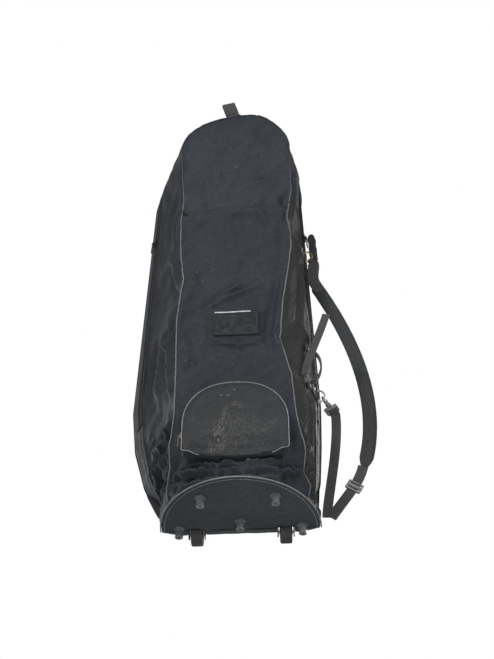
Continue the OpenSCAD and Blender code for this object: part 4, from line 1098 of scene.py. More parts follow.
# The fixed strip behind the zip, the cloth beside and below the zip, and the zip's tapes.
# Name, t and v ranges, rows, columns, lift, thickness, material, slot, CAD node.
T_LOW = (0.330 - CLOTH_Z) / (STRAIGHT_Z - CLOTH_Z)      # the zip ends this far up
ZIPPED = (T_LOW, 3 - T_LOW)
BESIDE_ZIP = (ZIP_V - 0.02, ZIP_V + 0.05)
STRIPS = [
    ("back_flange_cloth", (0, 3), (ZIP_V + ZIP_HALF, 1.0), 330, 5, 0.0, CLOTH_T, "gusset", "gusset_fabric",
     "back_flange"),
    ("gusset_edge_cloth", (0, 3), (SOFT_V - 0.004, ZIP_V - 0.012), 330, 4, 0.0, CLOTH_T, "gusset",
     "gusset_fabric"),
    ("zip_foot_left", (0, T_LOW), BESIDE_ZIP, 60, 4, 0.0001, CLOTH_T, "gusset", "gusset_fabric"),
    ("zip_foot_right", (3 - T_LOW, 3), BESIDE_ZIP, 60, 4, 0.0001, CLOTH_T, "gusset", "gusset_fabric"),
    ("zip_tape_front", ZIPPED, (ZIP_V - 0.065, ZIP_V - 0.014), 300, 4, 0.0013, 0.0008, "tape", "zip_tape",
     "main_zip_tape"),
    ("zip_tape_rear", ZIPPED, (ZIP_V + 0.014, ZIP_V + 0.065), 300, 4, 0.0013, 0.0008, "tape", "zip_tape"),
    ("zip_tape_middle", ZIPPED, (ZIP_V - 0.016, ZIP_V + 0.016), 300, 3, 0.0009, 0.0007, "tape", "zip_tape"),
]
for name, t_range, v_range, rows, cols, lift, thick, material, slot, *node in STRIPS:
    strip = strip_mesh(name, *t_range, *v_range, rows, cols, lift)
    finish(thicken(strip, thick), material, "case", slot, *node)


def blocks(name, centres, across, along, up, size):
    """Small six-sided blocks, one at each place, with chamfered tops."""
    shape = [(-1, -1, 0), (1, -1, 0), (1, 1, 0), (-1, 1, 0),
             (-0.75, -0.6, 1), (0.75, -0.6, 1), (0.75, 0.6, 1), (-0.75, 0.6, 1)]
    quads = [(3, 2, 1, 0), (4, 5, 6, 7), (0, 1, 5, 4), (1, 2, 6, 5), (2, 3, 7, 6), (3, 0, 4, 7)]
    verts, faces = [], []
    for c, x, y, z in zip(centres, across, along, up):
        n = len(verts)
        verts += [c + x * s[0] * size[0] + y * s[1] * size[1] + z * s[2] * size[2] for s in shape]
        faces += [tuple(n + i for i in q) for q in quads]
    return make(name, verts, faces, smooth_shade=False)


def coil(name, line, across, up, lift, throw, size, *replaced):
    """A zip's coil: small blocks on alternate sides of its line."""
    shift = np.where(np.arange(len(line)) % 2 == 0, throw, -throw)[:, None]
    teeth = blocks(name, line + up * lift + across * shift, across, tangents(line), up, size)
    finish(teeth, "coil", "case", "zip_teeth", *replaced)


zip_t = np.linspace(T_LOW + 0.003, 3 - T_LOW - 0.003, 1100)
mid = hoop(zip_t, ZIP_V)
up = hoop_normal(zip_t, np.full_like(zip_t, ZIP_V))
up *= np.sign(np.sum(up * (mid - BODY_MIDDLE), axis=1, keepdims=True))
coil("zip_coil_teeth", mid, unit(np.cross(tangents(mid), up)), up, 0.0017, 0.0012, (0.0026, 0.00085, 0.0018),
     "main_zip_teeth")

# ---- Back panel, base and bevel ----
def notches(edge, deep):
    """The two wheel notches in a straight edge, from right to left."""
    turns = [(NOTCH_HALF, edge), (NOTCH_HALF, deep), (-NOTCH_HALF, deep), (-NOTCH_HALF, edge)]
    return [(side * WHEEL_X + x, level) for side in (1, -1) for x, level in turns]


z0 = CLOTH_Z + BEVEL_RISE + 0.001
climb = np.linspace(z0, STRAIGHT_Z, 90)
over = arch_point(np.linspace(math.pi, 0, 60)[1:-1], np.ones(58))[:, [0, 2]]
outline = np.vstack([flat(back_x(-1.0, climb), climb), over, flat(back_x(1.0, climb), climb)[::-1],
                     notches(z0, HOUSING_TOP)])
outline = resample(outline, 0.011, closed=True)
back_2d, back_f = plate([outline], 0.012, seed=8)
back_obj = make("back_cloth", xyz(back_2d[:, 0], BACK_Y + 0.0045, back_2d[:, 1]), back_f)
subdivide(back_obj)
face_toward(back_obj, BACKWARD)
co = coords(back_obj)
BACK_FOLDS = [([(-0.200, 0.900), (-0.060, 0.850), (0.080, 0.880)], 0.0060, 0.018),
              ([(-0.150, 0.500), (0.000, 0.460), (0.120, 0.500)], 0.0060, 0.016),
              ([(-0.180, 0.250), (-0.020, 0.220), (0.140, 0.260)], 0.0070, 0.014),
              ([(-0.100, 1.150), (0.000, 1.120), (0.100, 1.160)], 0.0050, 0.016),
              ([(-0.200, 0.700), (-0.130, 0.620), (-0.140, 0.520)], 0.0060, 0.014),
              ([(0.150, 0.780), (0.100, 0.700), (0.120, 0.600)], 0.0060, 0.014),
              ([(-0.150, 0.130), (0.000, 0.105), (0.150, 0.135)], 0.0060, 0.010)]
h = 0.0028 * noise(co, 0.160, 31) + 0.0006 * noise(co, 0.04, 32) + creased(co[:, [0, 2]], BACK_FOLDS)
co[:, 1] += np.clip(h, -0.0030, 0.0075) * smooth(edge_distance(co[:, [0, 2]], outline) / 0.030)
set_coords(back_obj, co)
thicken(back_obj)
finish(back_obj, "back", "case", "gusset_fabric", "back_panel")
binding_t = np.linspace(0.012, 2.988, 500)
binding = hoop(binding_t, 1.0) + [0, 0.0030, 0]
finish(cord("back_edge_binding", binding, 0.0026), "gusset", "case", "gusset_fabric")

def base_arc(inset, z=None):
    """The base's front arc, moved in by an inset: flat, or as points at a height."""
    q = np.linspace(math.pi, 2 * math.pi, 80)
    x, y = (BASE_HALF - inset) * np.cos(q), SEAM_Y + (ARC_DEPTH - inset) * np.sin(q)
    return flat(x, y) if z is None else xyz(x, y, z)


def base_sheet(name, loops, step, seed, z):
    """A downward-facing sheet; z gives its height from y."""
    flat_points, faces = plate(loops, step, seed=seed)
    obj = make(name, xyz(flat_points[:, 0], flat_points[:, 1], z(flat_points[:, 1])), faces)
    subdivide(obj)
    face_toward(obj, (0, 0, -1))
    return obj, coords(obj)


base_loop = resample(np.vstack([base_arc(0), notches(SEAM_Y, NOTCH_Y)]), 0.007, closed=True)
foot_holes = [circle(x, y, 0.0028, 10) for x, y in FEET]
base, co = base_sheet("base_cloth", [base_loop] + foot_holes, 0.0085, 21, lambda y: BASE_Z + 0.0002)
edge = 1 - np.sqrt((co[:, 0] / BASE_HALF) ** 2 + ((co[:, 1] - SEAM_Y) / ARC_DEPTH) ** 2)
near_foot = np.min([np.hypot(co[:, 0] - x, co[:, 1] - y) for x, y in FEET], axis=0)
lump = 0.0011 * noise(co, 0.085, 41) + 0.0004 * noise(co, 0.025, 42)
lump += creased(co[:, :2], [([(-0.120, -0.060), (-0.020, -0.085), (0.100, -0.060)], 0.0012, 0.014),
                            ([(-0.090, 0.010), (0.000, 0.030), (0.090, 0.005)], 0.0010, 0.012)])
lump = np.where(edge < 0.05, lump * 0.3 - 0.0006 * np.exp(-((edge - 0.03) / 0.012) ** 2), lump)
lump *= smooth((near_foot - 0.010) / 0.012)
co[:, 2] -= np.clip(lump, -0.0012, 0.0016)
set_coords(base, co)
finish(thicken(base), "base", "case", "base_fabric", "base_cover")
row = base_arc(0.015, BASE_Z - 0.0001)
finish(stitches("base_stitching", [row], pitch=0.005), "thread", "case", "base_fabric")


def along_bevel(y):
    """0 where the bevel starts, 1 at the rear edge."""
    return np.clip((y - SEAM_Y) / (EDGE_Y - SEAM_Y), 0, 1)


cuts = [(-1, -WHEEL_X - NOTCH_HALF), (-WHEEL_X + NOTCH_HALF, WHEEL_X - NOTCH_HALF), (WHEEL_X + NOTCH_HALF, 1)]
loops = []
for x0, x1 in cuts:
    corners = []
    for y, turn in ((SEAM_Y + 0.0006, 1), (EDGE_Y, -1)):
        half = mix(BASE_HALF, EDGE_HALF, along_bevel(y))
        corners += [(max(x0, -half), y), (min(x1, half), y)][::turn]
    loops.append(resample(corners, 0.006, closed=True))
bevel, co = base_sheet("bevel_cloth", loops, 0.007, 23, lambda y: BASE_Z + BEVEL_RISE * along_bevel(y))
co[:, 2] -= 0.0006 * noise(co, 0.05, 45) + 0.0003
set_coords(bevel, co)
finish(thicken(bevel), "base", "case", "base_fabric", "rear_bevel")

# Piping round the base: a main cord, and a thinner edge just inside it.
finish(cord("base_piping_cord", base_arc(-0.0023, BASE_Z + 0.001), 0.0017), "bright", "case", "piping",
       "base_piping")
finish(cord("base_inner_piping", base_arc(0.0075, BASE_Z - 0.0004), 0.0009, sides=8), "bright", "case",
       "piping")
for k, (x0, x1) in enumerate(cuts):
    xs = np.linspace(max(x0, -BASE_HALF + 0.002), min(x1, BASE_HALF - 0.002), 40)
    lip = cord(f"rear_seam_{k}", xyz(xs, SEAM_Y, BASE_Z - 0.0003), 0.0011, sides=8)
    finish(lip, "base", "case", "base_fabric")

# ---- Front pocket ----
POCKET_TILT = math.radians(9.2)
POCKET_AT = np.array([0, -0.1865, 0.090])
POCKET_W, POCKET_H, POCKET_D = 0.250, 0.216, 0.022


def to_pocket(p):
    """From the pocket's own plane to the scene. The pocket is shallower towards its sagging bottom."""
    p = np.asarray(p, float)
    s, c = math.sin(POCKET_TILT), math.cos(POCKET_TILT)
    full = np.maximum(smooth(p[..., 2] / 0.045), smooth((np.abs(p[..., 0]) - 0.085) / 0.028))
    y = p[..., 1] * mix(0.45, 1.0, full)
    return np.stack([p[..., 0], y * c + p[..., 2] * s, -y * s + p[..., 2] * c], -1) + POCKET_AT


def pocket_outline(inset):
    """Round the pocket's edge in its own plane, from the left end of its sagging bottom."""
    w, h = POCKET_W / 2 - inset, POCKET_H - inset
    r = 0.007
    corner = [(w - r + r * math.sin(q), inset + r - r * math.cos(q)) for q in np.linspace(0, math.pi / 2, 7)]
    bottom = [(x, inset - 0.009 * math.cos(math.pi * x / (2 * (w - r))))
              for x in np.linspace(-w + r, w - r, 15)]
    right = [(w * (0.985 + 0.015 * math.cos(q)) * max(0, math.cos(q)) ** 0.85,
              h * 0.38 + h * 0.62 * math.sin(q) ** 0.92) for q in np.linspace(0, math.pi / 2, 25)]
    left = [(-x, z) for x, z in right[-2::-1]]
    return np.array(bottom[:-1] + corner + right + left + [(-x, z) for x, z in corner[:0:-1]])


face_loop = resample(pocket_outline(0.002), 0.0055, closed=True)
face_2d, face_f = plate([face_loop], 0.0058, seed=51)
depth = edge_distance(face_2d, face_loop)
crown_y = -POCKET_D - 0.0012 - 0.0045 * smooth(depth / 0.05)
face = make("pocket_face_cloth", to_pocket(xyz(face_2d[:, 0], crown_y, face_2d[:, 1])), face_f)
drape(face, np.where(depth < 1e-4, 1.0, 0.0), frames=18, grow=0.035, pressure=0.5, bend=0.5, cap=0.006,
      mass=0.2, pull=(0, 1.0, 0))
POCKET_FOLDS = [
    ([(-0.100, 0.120), (-0.060, 0.140), (0.000, 0.128)], 0.0030, 0.010),
    ([(0.090, 0.250), (0.060, 0.230), (0.050, 0.180)], 0.0030, 0.010),
    ([(-0.105, 0.200), (-0.080, 0.235), (-0.040, 0.255)], 0.0030, 0.010),
    ([(-0.110, 0.122), (-0.030, 0.108), (0.060, 0.112), (0.112, 0.128)], 0.0050, 0.009),
    ([(-0.070, 0.098), (0.010, 0.094), (0.080, 0.100)], 0.0035, 0.006),
    ([(0.020, 0.140), (0.070, 0.130), (0.110, 0.150)], 0.0028, 0.009),
]
refine(face, POCKET_FOLDS, [0, 2], FORWARD, soft=0.0009, seed=52)
finish(thicken(face), "pocket", "case", "body_fabric", "front_pocket_face")

ring = resample(pocket_outline(0.0), 0.004, closed=True)
ring = np.vstack([ring, ring[:1]])
outward = tangents(ring)[:, ::-1] * [1, -1]
bulge = 0.0012 * noise(flat(np.arange(len(ring)) * 0.004, 0), 0.03, 61)
depths = np.linspace(-POCKET_D + 0.0003, 0.0, 9)
wall = []
for y in depths:
    # The wall is straight where the zip runs along it, and bulges beside the zip.
    off = -0.0012 + (0.0 if abs(y + POCKET_D / 2) < 0.009 else 1.0) * bulge[:, None]
    x, z = (ring + outward * off).T
    wall.append(xyz(x, y, z))
wall_faces = [(a, d, c, b) for a, b, c, d in grid_faces(len(depths), len(ring))]
wall = make("pocket_gusset_cloth", to_pocket(wall).reshape(-1, 3), wall_faces)
finish(thicken(wall, 0.0014), "pocket", "case", "body_fabric", "front_pocket_gusset")


def pocket_line(inset, y, low, step=0.003, bare=1.0):
    """The pocket's outline without its bottom edge, or without that edge's middle."""
    line = resample(pocket_outline(inset), step, closed=True)
    start = int(np.argmin(np.abs(line[:, 0]) + line[:, 1]))
    line = np.roll(line, -start, axis=0)
    line = line[(line[:, 1] > low) | (np.abs(line[:, 0]) > bare)]
    return to_pocket(xyz(line[:, 0], y, line[:, 1]))


finish(cord("pocket_piping_cord", pocket_line(-0.0006, -POCKET_D - 0.0012, 0.003, bare=0.085), 0.0012),
       "bright", "case", "piping", "front_pocket_piping")
zip_y = -POCKET_D / 2
line = pocket_line(-0.0008, zip_y, 0.005, 0.004)
through = unit([0, math.cos(POCKET_TILT), -math.sin(POCKET_TILT)])
finish(sweep("pocket_zip_tape", line, through, band_section(0.016, 0.0008, cols=10)), "tape", "case",
       "zip_tape", "pocket_zip")
line = pocket_line(-0.0013, zip_y, 0.006, 0.0021)
up = unit(np.cross(through, tangents(line)))
up *= np.sign(np.sum(up * (line - to_pocket([0, zip_y, 0.10])), axis=1, keepdims=True))
coil("pocket_coil_teeth", line, np.tile(through, (len(line), 1)), up, -0.0002, 0.0010,
     (0.0022, 0.0008, 0.0014))
row = on_cloth(face, pocket_line(0.0065, -POCKET_D - 0.0005, 0.0065), BACKWARD, 0.0004)
finish(stitches("pocket_stitching", [row]), "thread", "case", "body_fabric")

# ---- Card pocket ----
CARD_LEAN = math.atan2(0.038, 0.700)     # the panel's slope there


def to_card(p, y):
    """From the card pocket's own plane, y behind it, to the scene."""
    s, c = math.sin(CARD_LEAN), math.cos(CARD_LEAN)
    x, z = np.asarray(p, float).T
    return xyz(x, y * c + z * s + float(panel_y(CARD_Z)) - 0.0005, -y * s + z * c + CARD_Z)


def rounded(w, h, r):
    """A rectangle with rounded corners."""
    points = []
    for k, (right, top) in enumerate(((1, 1), (-1, 1), (-1, -1), (1, -1))):
        for q in np.linspace(k, k + 1, 6) * math.pi / 2:
            points.append((right * (w / 2 - r) + r * math.cos(q), top * (h / 2 - r) + r * math.sin(q)))
    return np.array(points)


def card_sheet(name, loops, y, t, wave, seed):
    flat_points, faces = plate([resample(l, 0.004, closed=True) for l in loops], 0.0045, seed=seed)
    obj = make(name, to_card(flat_points, y), faces)
    subdivide(obj)
    face_toward(obj, FORWARD)
    co = coords(obj)
    co[:, 1] += wave * (noise(co, 0.04, seed) - 1) * 0.5
    set_coords(obj, co)
    return thicken(obj, t)


def card_frame(more, r):
    return rounded(CARD_W + more, CARD_H + more, r)


trim = card_sheet("card_pocket_trim", [card_frame(0, 0.004), card_frame(-0.014, 0.003)], -0.0014, 0.0012,
                  0.0005, 71)
finish(trim, "trim", "case", "card_trim", "card_pocket")
window = card_sheet("card_window_film", [card_frame(-0.0135, 0.003)], -0.0008, 0.0004, 0.0003, 72)
finish(window, "film", "case", "clear_film", "card_window")
# The strip along the card pocket's opening is pale as painted highlight: its colour stands for the glint on
# the opening's clear vinyl edge.
strip_x = -CARD_W / 2 + 0.003
xs = np.linspace(strip_x, strip_x + 0.8 * CARD_W, 40)
strip_line = to_card(flat(xs, CARD_H / 2 - 0.0035 + 0.0006 * np.sin(xs * 60)), -0.0028)
finish(sweep("card_edge_strip", strip_line, UP, band_section(0.0040, 0.0012, cols=10)), "painted_glint", "case",
       "pale_binding", "card_pocket_binding")
# A thin dark cord round the card pocket is painted shadow, for the shade line along its edge.
outline = resample(card_frame(0.0008, 0.004), 0.003, closed=True)
finish(cord("card_painted_shadow_cord", to_card(np.vstack([outline, outline[:1]]), -0.0012), 0.0009, sides=6), "tape",
       "case", "card_trim")
row = to_card(resample(card_frame(-0.005, 0.003), 0.003, closed=True), -0.0018)
finish(stitches("card_stitching", [row], pitch=0.0035, length=0.0024, r=0.00025), "dark_thread", "case",
       "card_trim")

# ---- Webbing ----
def strap(name, path, wide, w, t, material, body, *replaced, slot="webbing", ribs=6, flutter=0.0, seed=0):
    """Flat ribbed webbing, w wide and t thick, that may waver a little to front and back."""
    run = run_along(path)
    at = np.linspace(0, run[-1], max(8, int(run[-1] / 0.0025)))
    both = np.hstack([path, np.broadcast_to(wide, np.shape(path))])
    both = np.stack([np.interp(at, run, column) for column in both.T], -1)
    obj = sweep(name, both[:, :3], both[:, 3:], band_section(w, t, ribs, 0.09 * t, cols=36))
    if flutter:
        co = coords(obj)
        co[:, 1] += flutter * noise(co, 0.05, seed)
        set_coords(obj, co)
    return finish(obj, material, body, slot, *replaced)


def across_plane(path):
    """Width directions that keep a strap's faces towards the front and the back."""
    return unit(np.cross(BACKWARD, np.gradient(np.asarray(path, float), axis=0)))


LOOP_UP = np.cross(LOOP_WIDE, BACKWARD)
LOOP_UP *= np.sign(LOOP_UP[2])
LOOP_W, LOOP_H, LOOP_HALF = 0.036, 0.056, 0.007


def to_loop(p):
    """From the loop's own place (across, back, up) to the scene."""
    p = np.asarray(p, float)
    return LOOP_AT + p @ np.array([LOOP_WIDE, BACKWARD, LOOP_UP])


top = LOOP_H - LOOP_HALF
leg = [(0, -LOOP_HALF, 0.0065), (0, -LOOP_HALF - 0.001, top * 0.5), (0, -LOOP_HALF, top - 0.006)]
bend = [(0, -LOOP_HALF * math.cos(q), top + LOOP_HALF * math.sin(q)) for q in np.linspace(0, math.pi, 13)]
path = to_loop(leg + bend + [(x, -y, z) for x, y, z in leg[::-1]])
strap("top_loop_webbing", path, LOOP_WIDE + [0, 0.05, 0], LOOP_W, 0.0022, "loop", "top_handle", "top_loop",
      flutter=0.0004, seed=4)
patch = resample(rounded(LOOP_W + 0.006, 0.022, 0.003), 0.003, closed=True)
patch_2d, patch_f = plate([patch], 0.003, seed=81)
anchor = make("top_loop_patch", to_loop(xyz(patch_2d[:, 0], patch_2d[:, 1], -0.0043)), patch_f)
face_toward(anchor, UP)
finish(thicken(anchor, 0.0018), "tape", "case", "webbing", "top_loop_anchor")
# The gathered root of the loop, sewn to its patch.
section = [(0.0078 * math.cos(q), -0.0040 + 0.0100 * math.sin(q) ** 0.8) for q in np.linspace(0, math.pi, 15)]
root = sweep("top_loop_root", to_loop(xyz(np.linspace(-0.5, 0.5, 14) * LOOP_W, 0, 0)), BACKWARD, section)
face_toward(root, coords(root) - LOOP_AT)
finish(root, "loop", "case", "webbing")

HANDLE_AT, HANDLE_AXIS = joint("side_handle_swing")
HANDLE = [HANDLE_AT, HANDLE_AT + HANDLE_AXIS * 0.096 / HANDLE_AXIS[2]]
reach = np.array([0.039, 0, 0.004])
path = bezier([HANDLE[1], HANDLE[1] + reach, HANDLE[0] + reach, HANDLE[0]], 40)
strap("side_handle_loop", path, BACKWARD, 0.015, 0.0042, "cord", "side_handle", "side_handle",
      slot="handle_cord", ribs=3)

LOWER_AT, AXIS = joint("strap_swing")
PIVOTS = {"upper": LOWER_AT + AXIS * 0.468 / AXIS[2], "lower": LOWER_AT}
SIDE_TURN = math.radians(-12)           # how far the gusset faces away from straight right
COS, SIN = math.cos(SIDE_TURN), math.sin(SIDE_TURN)


def around(p, d, y, z):
    """A point near a strap ring: d outward from its bar, y backward, z along the bar."""
    out = np.array([AXIS[2], 0, -AXIS[0]])
    return p + out * d + np.array([0, y, 0]) + AXIS * z


for name, p in PIVOTS.items():
    r = 0.0034
    turns = np.radians(np.linspace(150, -190, 22))
    curl = [(r * math.cos(q), r * math.sin(q)) for q in turns]
    tab = [(-r - 0.0002, -0.004 - 0.038 * k / 12) for k in range(13)]
    tab = [(COS * a - SIN * b, SIN * a + COS * b) for a, b in tab]
    path = [around(p, a, b, 0) for a, b in curl + tab]
    strap(f"{name}_ring_webbing", path, AXIS, 0.020, 0.0016, "web", "case", f"{name}_ring_tab")

TAB_OFF = 0.0113                        # from the handle's ends to the middle of its sewn tabs
for k, z in enumerate((HANDLE[0][2] - TAB_OFF, HANDLE[1][2] + TAB_OFF)):
    foot = side_point(np.array(1.0), np.array(z), np.array(0.42))
    e = np.array([SIN, COS, 0])
    n = np.array([COS, SIN, 0])
    strap(f"side_handle_patch_{k}", [foot + n * 0.0023 - e * 0.0135, foot + n * 0.0023 + e * 0.0135], UP,
          0.020, 0.0018, "web", "case", *(["side_handle_anchors"] if k == 0 else []))
    stand = sweep(f"side_handle_tab_{k}", [foot + n * 0.0030, foot + n * 0.0085], e,
                  band_section(0.014, 0.016, cols=8))
    finish(stand, "web", "case", "webbing")

STRAP_Y = 0.035
PAD_CURVE = [(0.206, 0.770), (0.262, 0.660), (0.376, 0.410), (0.306, 0.186)]
pad_path = bezier([(x, STRAP_Y, z) for x, z in PAD_CURVE], 150)
LOOP_DIR = np.array([math.cos(math.radians(50)), 0, -math.sin(math.radians(50))])
RING_R = 0.018
ring_at = PIVOTS["upper"] + RING_R * LOOP_DIR
leg = [(0.016, 0.0008), (0.009, 0.0027), (0.003, 0.0044)]
bend = [(-0.0044 * math.cos(q), 0.0044 * math.sin(q)) for q in np.linspace(math.pi / 2, -math.pi / 2, 13)]
turn = [ring_at + k * LOOP_DIR + [0, y, 0] for k, y in leg + bend + [(k, -y) for k, y in leg[::-1]]]
strap("strap_upper_loop", turn, [LOOP_DIR[2], 0, -LOOP_DIR[0]], 0.013, 0.0014, "web", "strap")
path = bezier([ring_at + 0.009 * LOOP_DIR, ring_at + 0.026 * LOOP_DIR, pad_path[0] + [-0.012, -0.002, 0.036],
               pad_path[0] + [-0.001, -0.005, 0.004]], 40)
path = np.vstack([path, pad_path[3:12:2] + [0, -0.0066, 0]])
strap("strap_upper_strip", path, across_plane(path), 0.031, 0.0030, "web", "strap", "strap_upper_webbing",
      flutter=0.0006, seed=3)
box = [pad_path[k] + across_plane(pad_path)[k] * a + [0, -0.0084, 0]
       for k, a in ((3, -0.012), (3, 0.012), (10, 0.012), (10, -0.012), (3, -0.012))]
finish(stitches("strap_box_stitching", [resample(box, 0.004)]), "thread", "strap", "webbing")

# A spare padded end stands up from the sewn webbing beside the ring.
path_end = bezier([ring_at + 0.014 * LOOP_DIR + [0.001, 0.006, 0], ring_at + [0.013, 0.009, 0.020],
                   ring_at + [0.009, 0.008, 0.045], ring_at + [0.006, -0.008, 0.088]], 30)
round_end = np.sqrt(np.clip(np.arange(30)[::-1] / 3 + 0.15, 0, 1))
spare = sweep("strap_spare_end", path_end, across_plane(path_end), pillow_section(0.0112, 0.0036, 24),
              scale=round_end)
subdivide(spare)
co, no = coords(spare), normals(spare)
set_coords(spare, co + no * (0.0009 * noise(co, 0.02, 95))[:, None])
finish(spare, "pad", "strap", "pad_fabric")

# The pad: a padded tube that the simulation swells through its thickness, with a sewn channel.
round_ends = np.sqrt(np.clip(np.minimum(np.arange(150), np.arange(150)[::-1]) / 7 + 0.20, 0, 1))
pad = sweep("shoulder_pad_cloth", pad_path, across_plane(pad_path), pillow_section(0.0182, 0.0044, 28),
            scale=round_ends)
before = coords(pad)
corners = np.array([list(f.vertices)[:3] for f in pad.data.polygons])
drape(pad, np.zeros(len(before)), frames=18, grow=0.02, pressure=3.0, bend=0.8, cap=0.0024, mass=0.3)
set_coords(pad, before + calmed(coords(pad) - before, corners, 3) * BACKWARD)
subdivide(pad)
pad.data.shade_smooth()
co, no = coords(pad), normals(pad)
near = np.array([int(np.argmin(np.sum((pad_path - p) ** 2, axis=1))) for p in co])
wide = across_plane(pad_path)
across = np.sum((co - pad_path[near]) * wide[near], axis=1)
run = near * run_along(pad_path)[-1] / (len(pad_path) - 1)
CHANNELS = (0.0040, -0.0135)            # sewn lines, across the pad
BENDS = (0.300, 0.355)                  # where the pad is kinked, along it
groove = np.exp(-((across - CHANNELS[0]) / 0.0019) ** 2)
groove += 0.45 * np.exp(-((across - CHANNELS[1]) / 0.0013) ** 2)
pucker = 0.5 + 0.5 * np.sin(run / 0.0085 + 1.5 * np.sin(run / 0.05))
h = -groove * (0.0022 + 0.0005 * pucker) - 0.0010 * smooth((across - CHANNELS[0]) / 0.010)
kinked = sum(np.exp(-((run - r) / 0.016) ** 2) for r in BENDS) * smooth((across + 0.006) / 0.012)
h += kinked * (0.0022 * np.sin(run / 0.0042 + across * 160) - 0.0010)
h += 0.0005 * noise(co, 0.030, 91)
on_face = smooth(np.abs(no[:, 1]) * 1.6 - 0.4)          # 1 on the pad's faces, 0 on its edges
set_coords(pad, co + no * (h * on_face)[:, None])
finish(pad, "pad", "strap", "pad_fabric", "shoulder_pad")
rows = [on_cloth(pad, pad_path[6:-6] + wide[6:-6] * a, toward, 0.0002)
        for a in CHANNELS for toward in (BACKWARD, FORWARD)]
finish(stitches("pad_stitching", rows, pitch=0.005, length=0.0036), "dark_thread", "strap", "pad_fabric")

# Lower webbing, folded at its tip.
FOLD_TIP = np.array([0.213, STRAP_Y, 0.040])
HOOK_EYE, HOOK_DIR = joint("hook_swivel_turn")
eye_end = HOOK_EYE + 0.052 * HOOK_DIR
pad_end = pad_path[-1]
down = bezier([pad_end + [-0.002, 0, 0.003], pad_end + [-0.016, 0, -0.050], FOLD_TIP + [0.050, 0, 0.070],
               FOLD_TIP + [0.006, 0, 0.004]], 60)
strap("strap_lower_strip", down, across_plane(down), 0.026, 0.0020, "web", "strap", "strap_lower_webbing")
rise = bezier([FOLD_TIP + [-0.004, 0, 0.004], FOLD_TIP + [0, 0, 0.070], eye_end + [0.006, 0, -0.110],
               eye_end + [0.002, 0, -0.006]], 60) + [0, -0.0024, 0]
# Through the hook's eye and back: distance along the hook, and y.
THROUGH = [(0.0465, -0.0052), (0.0425, -0.0050), (0.0405, -0.0032), (0.0398, 0), (0.0405, 0.0032),
           (0.0425, 0.0050), (0.0480, 0.0052), (0.0600, 0.0030)]
through = [HOOK_EYE + k * HOOK_DIR + [0, y, 0] for k, y in THROUGH]
wide = np.vstack([across_plane(rise), np.tile([-HOOK_DIR[2], 0, HOOK_DIR[0]], (len(through), 1))])
strap("strap_return_strip", np.vstack([rise, through]), wide * np.sign(wide[:, :1]), 0.024, 0.0020, "web",
      "strap", flutter=0.0006, seed=5)

# Loose tail, twisting off its sewn end.
TAIL, _ = joint("tail_swing")
path = bezier([TAIL + [0.001, 0, 0.001], TAIL + [0.008, -0.004, 0.040], TAIL + [0.042, -0.012, 0.110],
               TAIL + [0.062, -0.012, 0.178]], 60)
twist = np.radians(mix(0, -80, smooth(np.linspace(0, 2, 60))))
strap("tail_strip", path, xyz(np.sin(twist), 0, np.cos(twist)), 0.020, 0.0020, "web", "tail", "webbing_tail",
      flutter=0.0006, seed=7)

# ---- Hidden padding in the hood ----
t, v = np.meshgrid(np.linspace(1.09, 1.91, 60), np.linspace(0.08, 0.76, 26), indexing="ij")
n = hoop_normal(t, v)
n *= np.sign(n[..., 2:3] + 1e-9)
quilt = 0.0020 * np.abs(np.sin(t * 30) * np.sin(v * 26))
under = arch_point(math.pi * (2 - t), v) - n * (0.0135 - quilt[..., None])
hood = make("hood_quilt", under.reshape(-1, 3), grid_faces(*t.shape))
finish(thicken(hood, 0.005, 0.0), "foam", "case", "foam", "hood_padding")

# ---- Carried-over CAD pieces: softened edges and materials ----
SHOWN = {
    "gloss": ["feet", "strap_adjuster", "hook_swivel"],
    "matte": ["left_housing", "right_housing"],
    "tyre": ["left_tyre", "right_tyre"],
    "hub": ["left_hub", "right_hub"],
    "board": ["base_board"],
    "brass": ["upper_ring"],
    "nickel": ["lower_ring", "tab_rivets", "strap_rivet", "snap_hook", "hook_gate", "hook_gate_pin"],
    "dark_metal": ["left_slider", "left_pull", "right_slider", "right_pull", "pocket_slider", "pocket_pull"],
    "zinc": ["axles", "housing_screws", "foot_screws", "foot_washers", "foot_nuts"],
}
BEVELS = {"matte": 0.0012, "dark_metal": 0.0004, "gloss": 0.0007, "hub": 0.0005}
for material, names in SHOWN.items():
    for name in names:
        obj = NODES[name]
        paint(obj, material)
        if material in BEVELS:
            modify(obj, "BEVEL", width=BEVELS[material], segments=2, limit_method="ANGLE",
                   angle_limit=math.radians(40))

# ---- Floor, light and camera ----
FLOOR_R, FLOOR_SIDES = 7, 64
floor = make("floor", [(x, y, -0.0006) for x, y in circle(0, 0, FLOOR_R, FLOOR_SIDES)],
             [tuple(range(FLOOR_SIDES))])
g = Graph("pale_floor")
speck = g.colour(g.noise(30, 3), (0.80, 0.80, 0.80), (0.84, 0.84, 0.84))
g.set(Base_Color=speck, Roughness=0.9, Specular_IOR_Level=0.1)
# The photo looks at the case from below, so the floor shows only to a camera above it.
camera_ray = g.add("ShaderNodeLightPath").outputs["Is Camera Ray"]
below = g.add("ShaderNodeNewGeometry").outputs["Backfacing"]
seen = g.times(camera_ray, g.math("SUBTRACT", 1.0, below))
clear = g.add("ShaderNodeBsdfTransparent")
blend = g.add("ShaderNodeMixShader", {0: seen, 1: clear.outputs[0], 2: g.shader.outputs[0]})
g.tree.links.new(blend.outputs[0], g.tree.nodes["Material Output"].inputs["Surface"])
floor.data.materials.append(g.material)

scene = bpy.context.scene
scene.view_settings.view_transform = "Standard"
world = bpy.data.worlds.new("studio")
scene.world = world
world.use_nodes = True
nodes, links = world.node_tree.nodes, world.node_tree.links
background = nodes["Background"]
background.inputs["Color"].default_value = (1, 1, 1, 1)
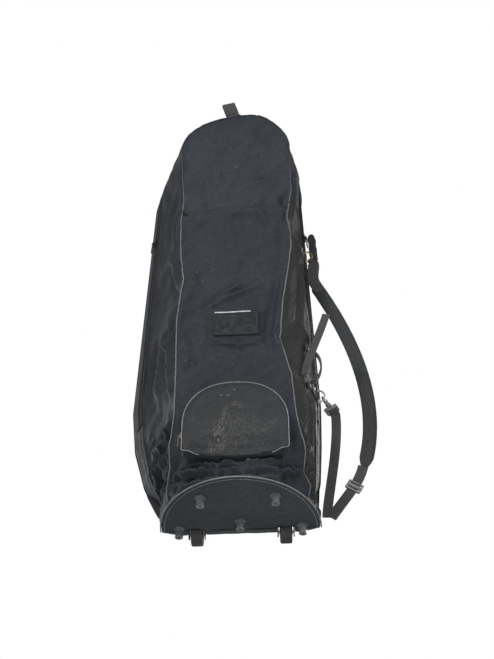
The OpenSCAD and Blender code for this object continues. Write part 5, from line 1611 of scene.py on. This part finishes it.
# White to the camera, and dimmer as a light.
light_path = nodes.new("ShaderNodeLightPath")
strength = nodes.new("ShaderNodeMapRange")
links.new(light_path.outputs["Is Camera Ray"], strength.inputs["Value"])
strength.inputs["To Min"].default_value = 0.34
strength.inputs["To Max"].default_value = 1.0
links.new(strength.outputs[0], background.inputs["Strength"])


def lamp(name, place, target, size, power):
    """A soft round lamp, aimed at a point."""
    data = bpy.data.lights.new(name, "AREA")
    data.shape = "DISK"
    data.size = size
    data.energy = power
    obj = bpy.data.objects.new(name, data)
    obj.location = place
    obj.rotation_euler = (Vector(target) - Vector(place)).to_track_quat("-Z", "Y").to_euler()
    scene.collection.objects.link(obj)


lamp("key", (-1.4, -2.5, 2.0), (0, 0, 0.7), 0.7, 66)
lamp("front_fill", (1.7, -2.5, 0.7), (0, 0, 0.6), 0.9, 34)
lamp("low_fill", (0.2, -1.7, -1.6), (0, -0.05, 0.1), 1.2, 18)
lamp("back_key", (1.3, 2.6, 1.8), (0, 0, 0.6), 1.2, 74)
lamp("back_fill", (-2.2, 1.5, 0.9), (0, 0, 0.6), 1.2, 32)

# The photo's viewpoint, from a perspective fit to the feet, base corners, wheels and top.
AZIMUTH, ELEVATION, ROLL = [math.radians(v) for v in (2.429, -37.692, 0.72)]
TARGET = np.array([0.0247, -0.060, 0.5554])
DISTANCE = 4.0276
SENSOR, FOCAL = 36, 1566.24 / 659       # FOCAL is in heights of the frame
to_camera = np.array([math.sin(AZIMUTH) * math.cos(ELEVATION), -math.cos(AZIMUTH) * math.cos(ELEVATION),
                      math.sin(ELEVATION)])
level = np.array([math.cos(AZIMUTH), math.sin(AZIMUTH), 0])
upright = np.cross(level, -to_camera)
c, s = math.cos(ROLL), math.sin(ROLL)
camera = bpy.data.objects.new("camera", bpy.data.cameras.new("camera"))
scene.collection.objects.link(camera)
camera.data.sensor_width = SENSOR
camera.data.lens = SENSOR * FOCAL
columns = [level * c - upright * s, level * s + upright * c, to_camera, TARGET + DISTANCE * to_camera]
camera.matrix_world = Matrix(np.vstack([np.array(columns).T, [0, 0, 0, 1]]).tolist())
camera.data.clip_start, camera.data.clip_end = 0.05, 60
scene.camera = camera
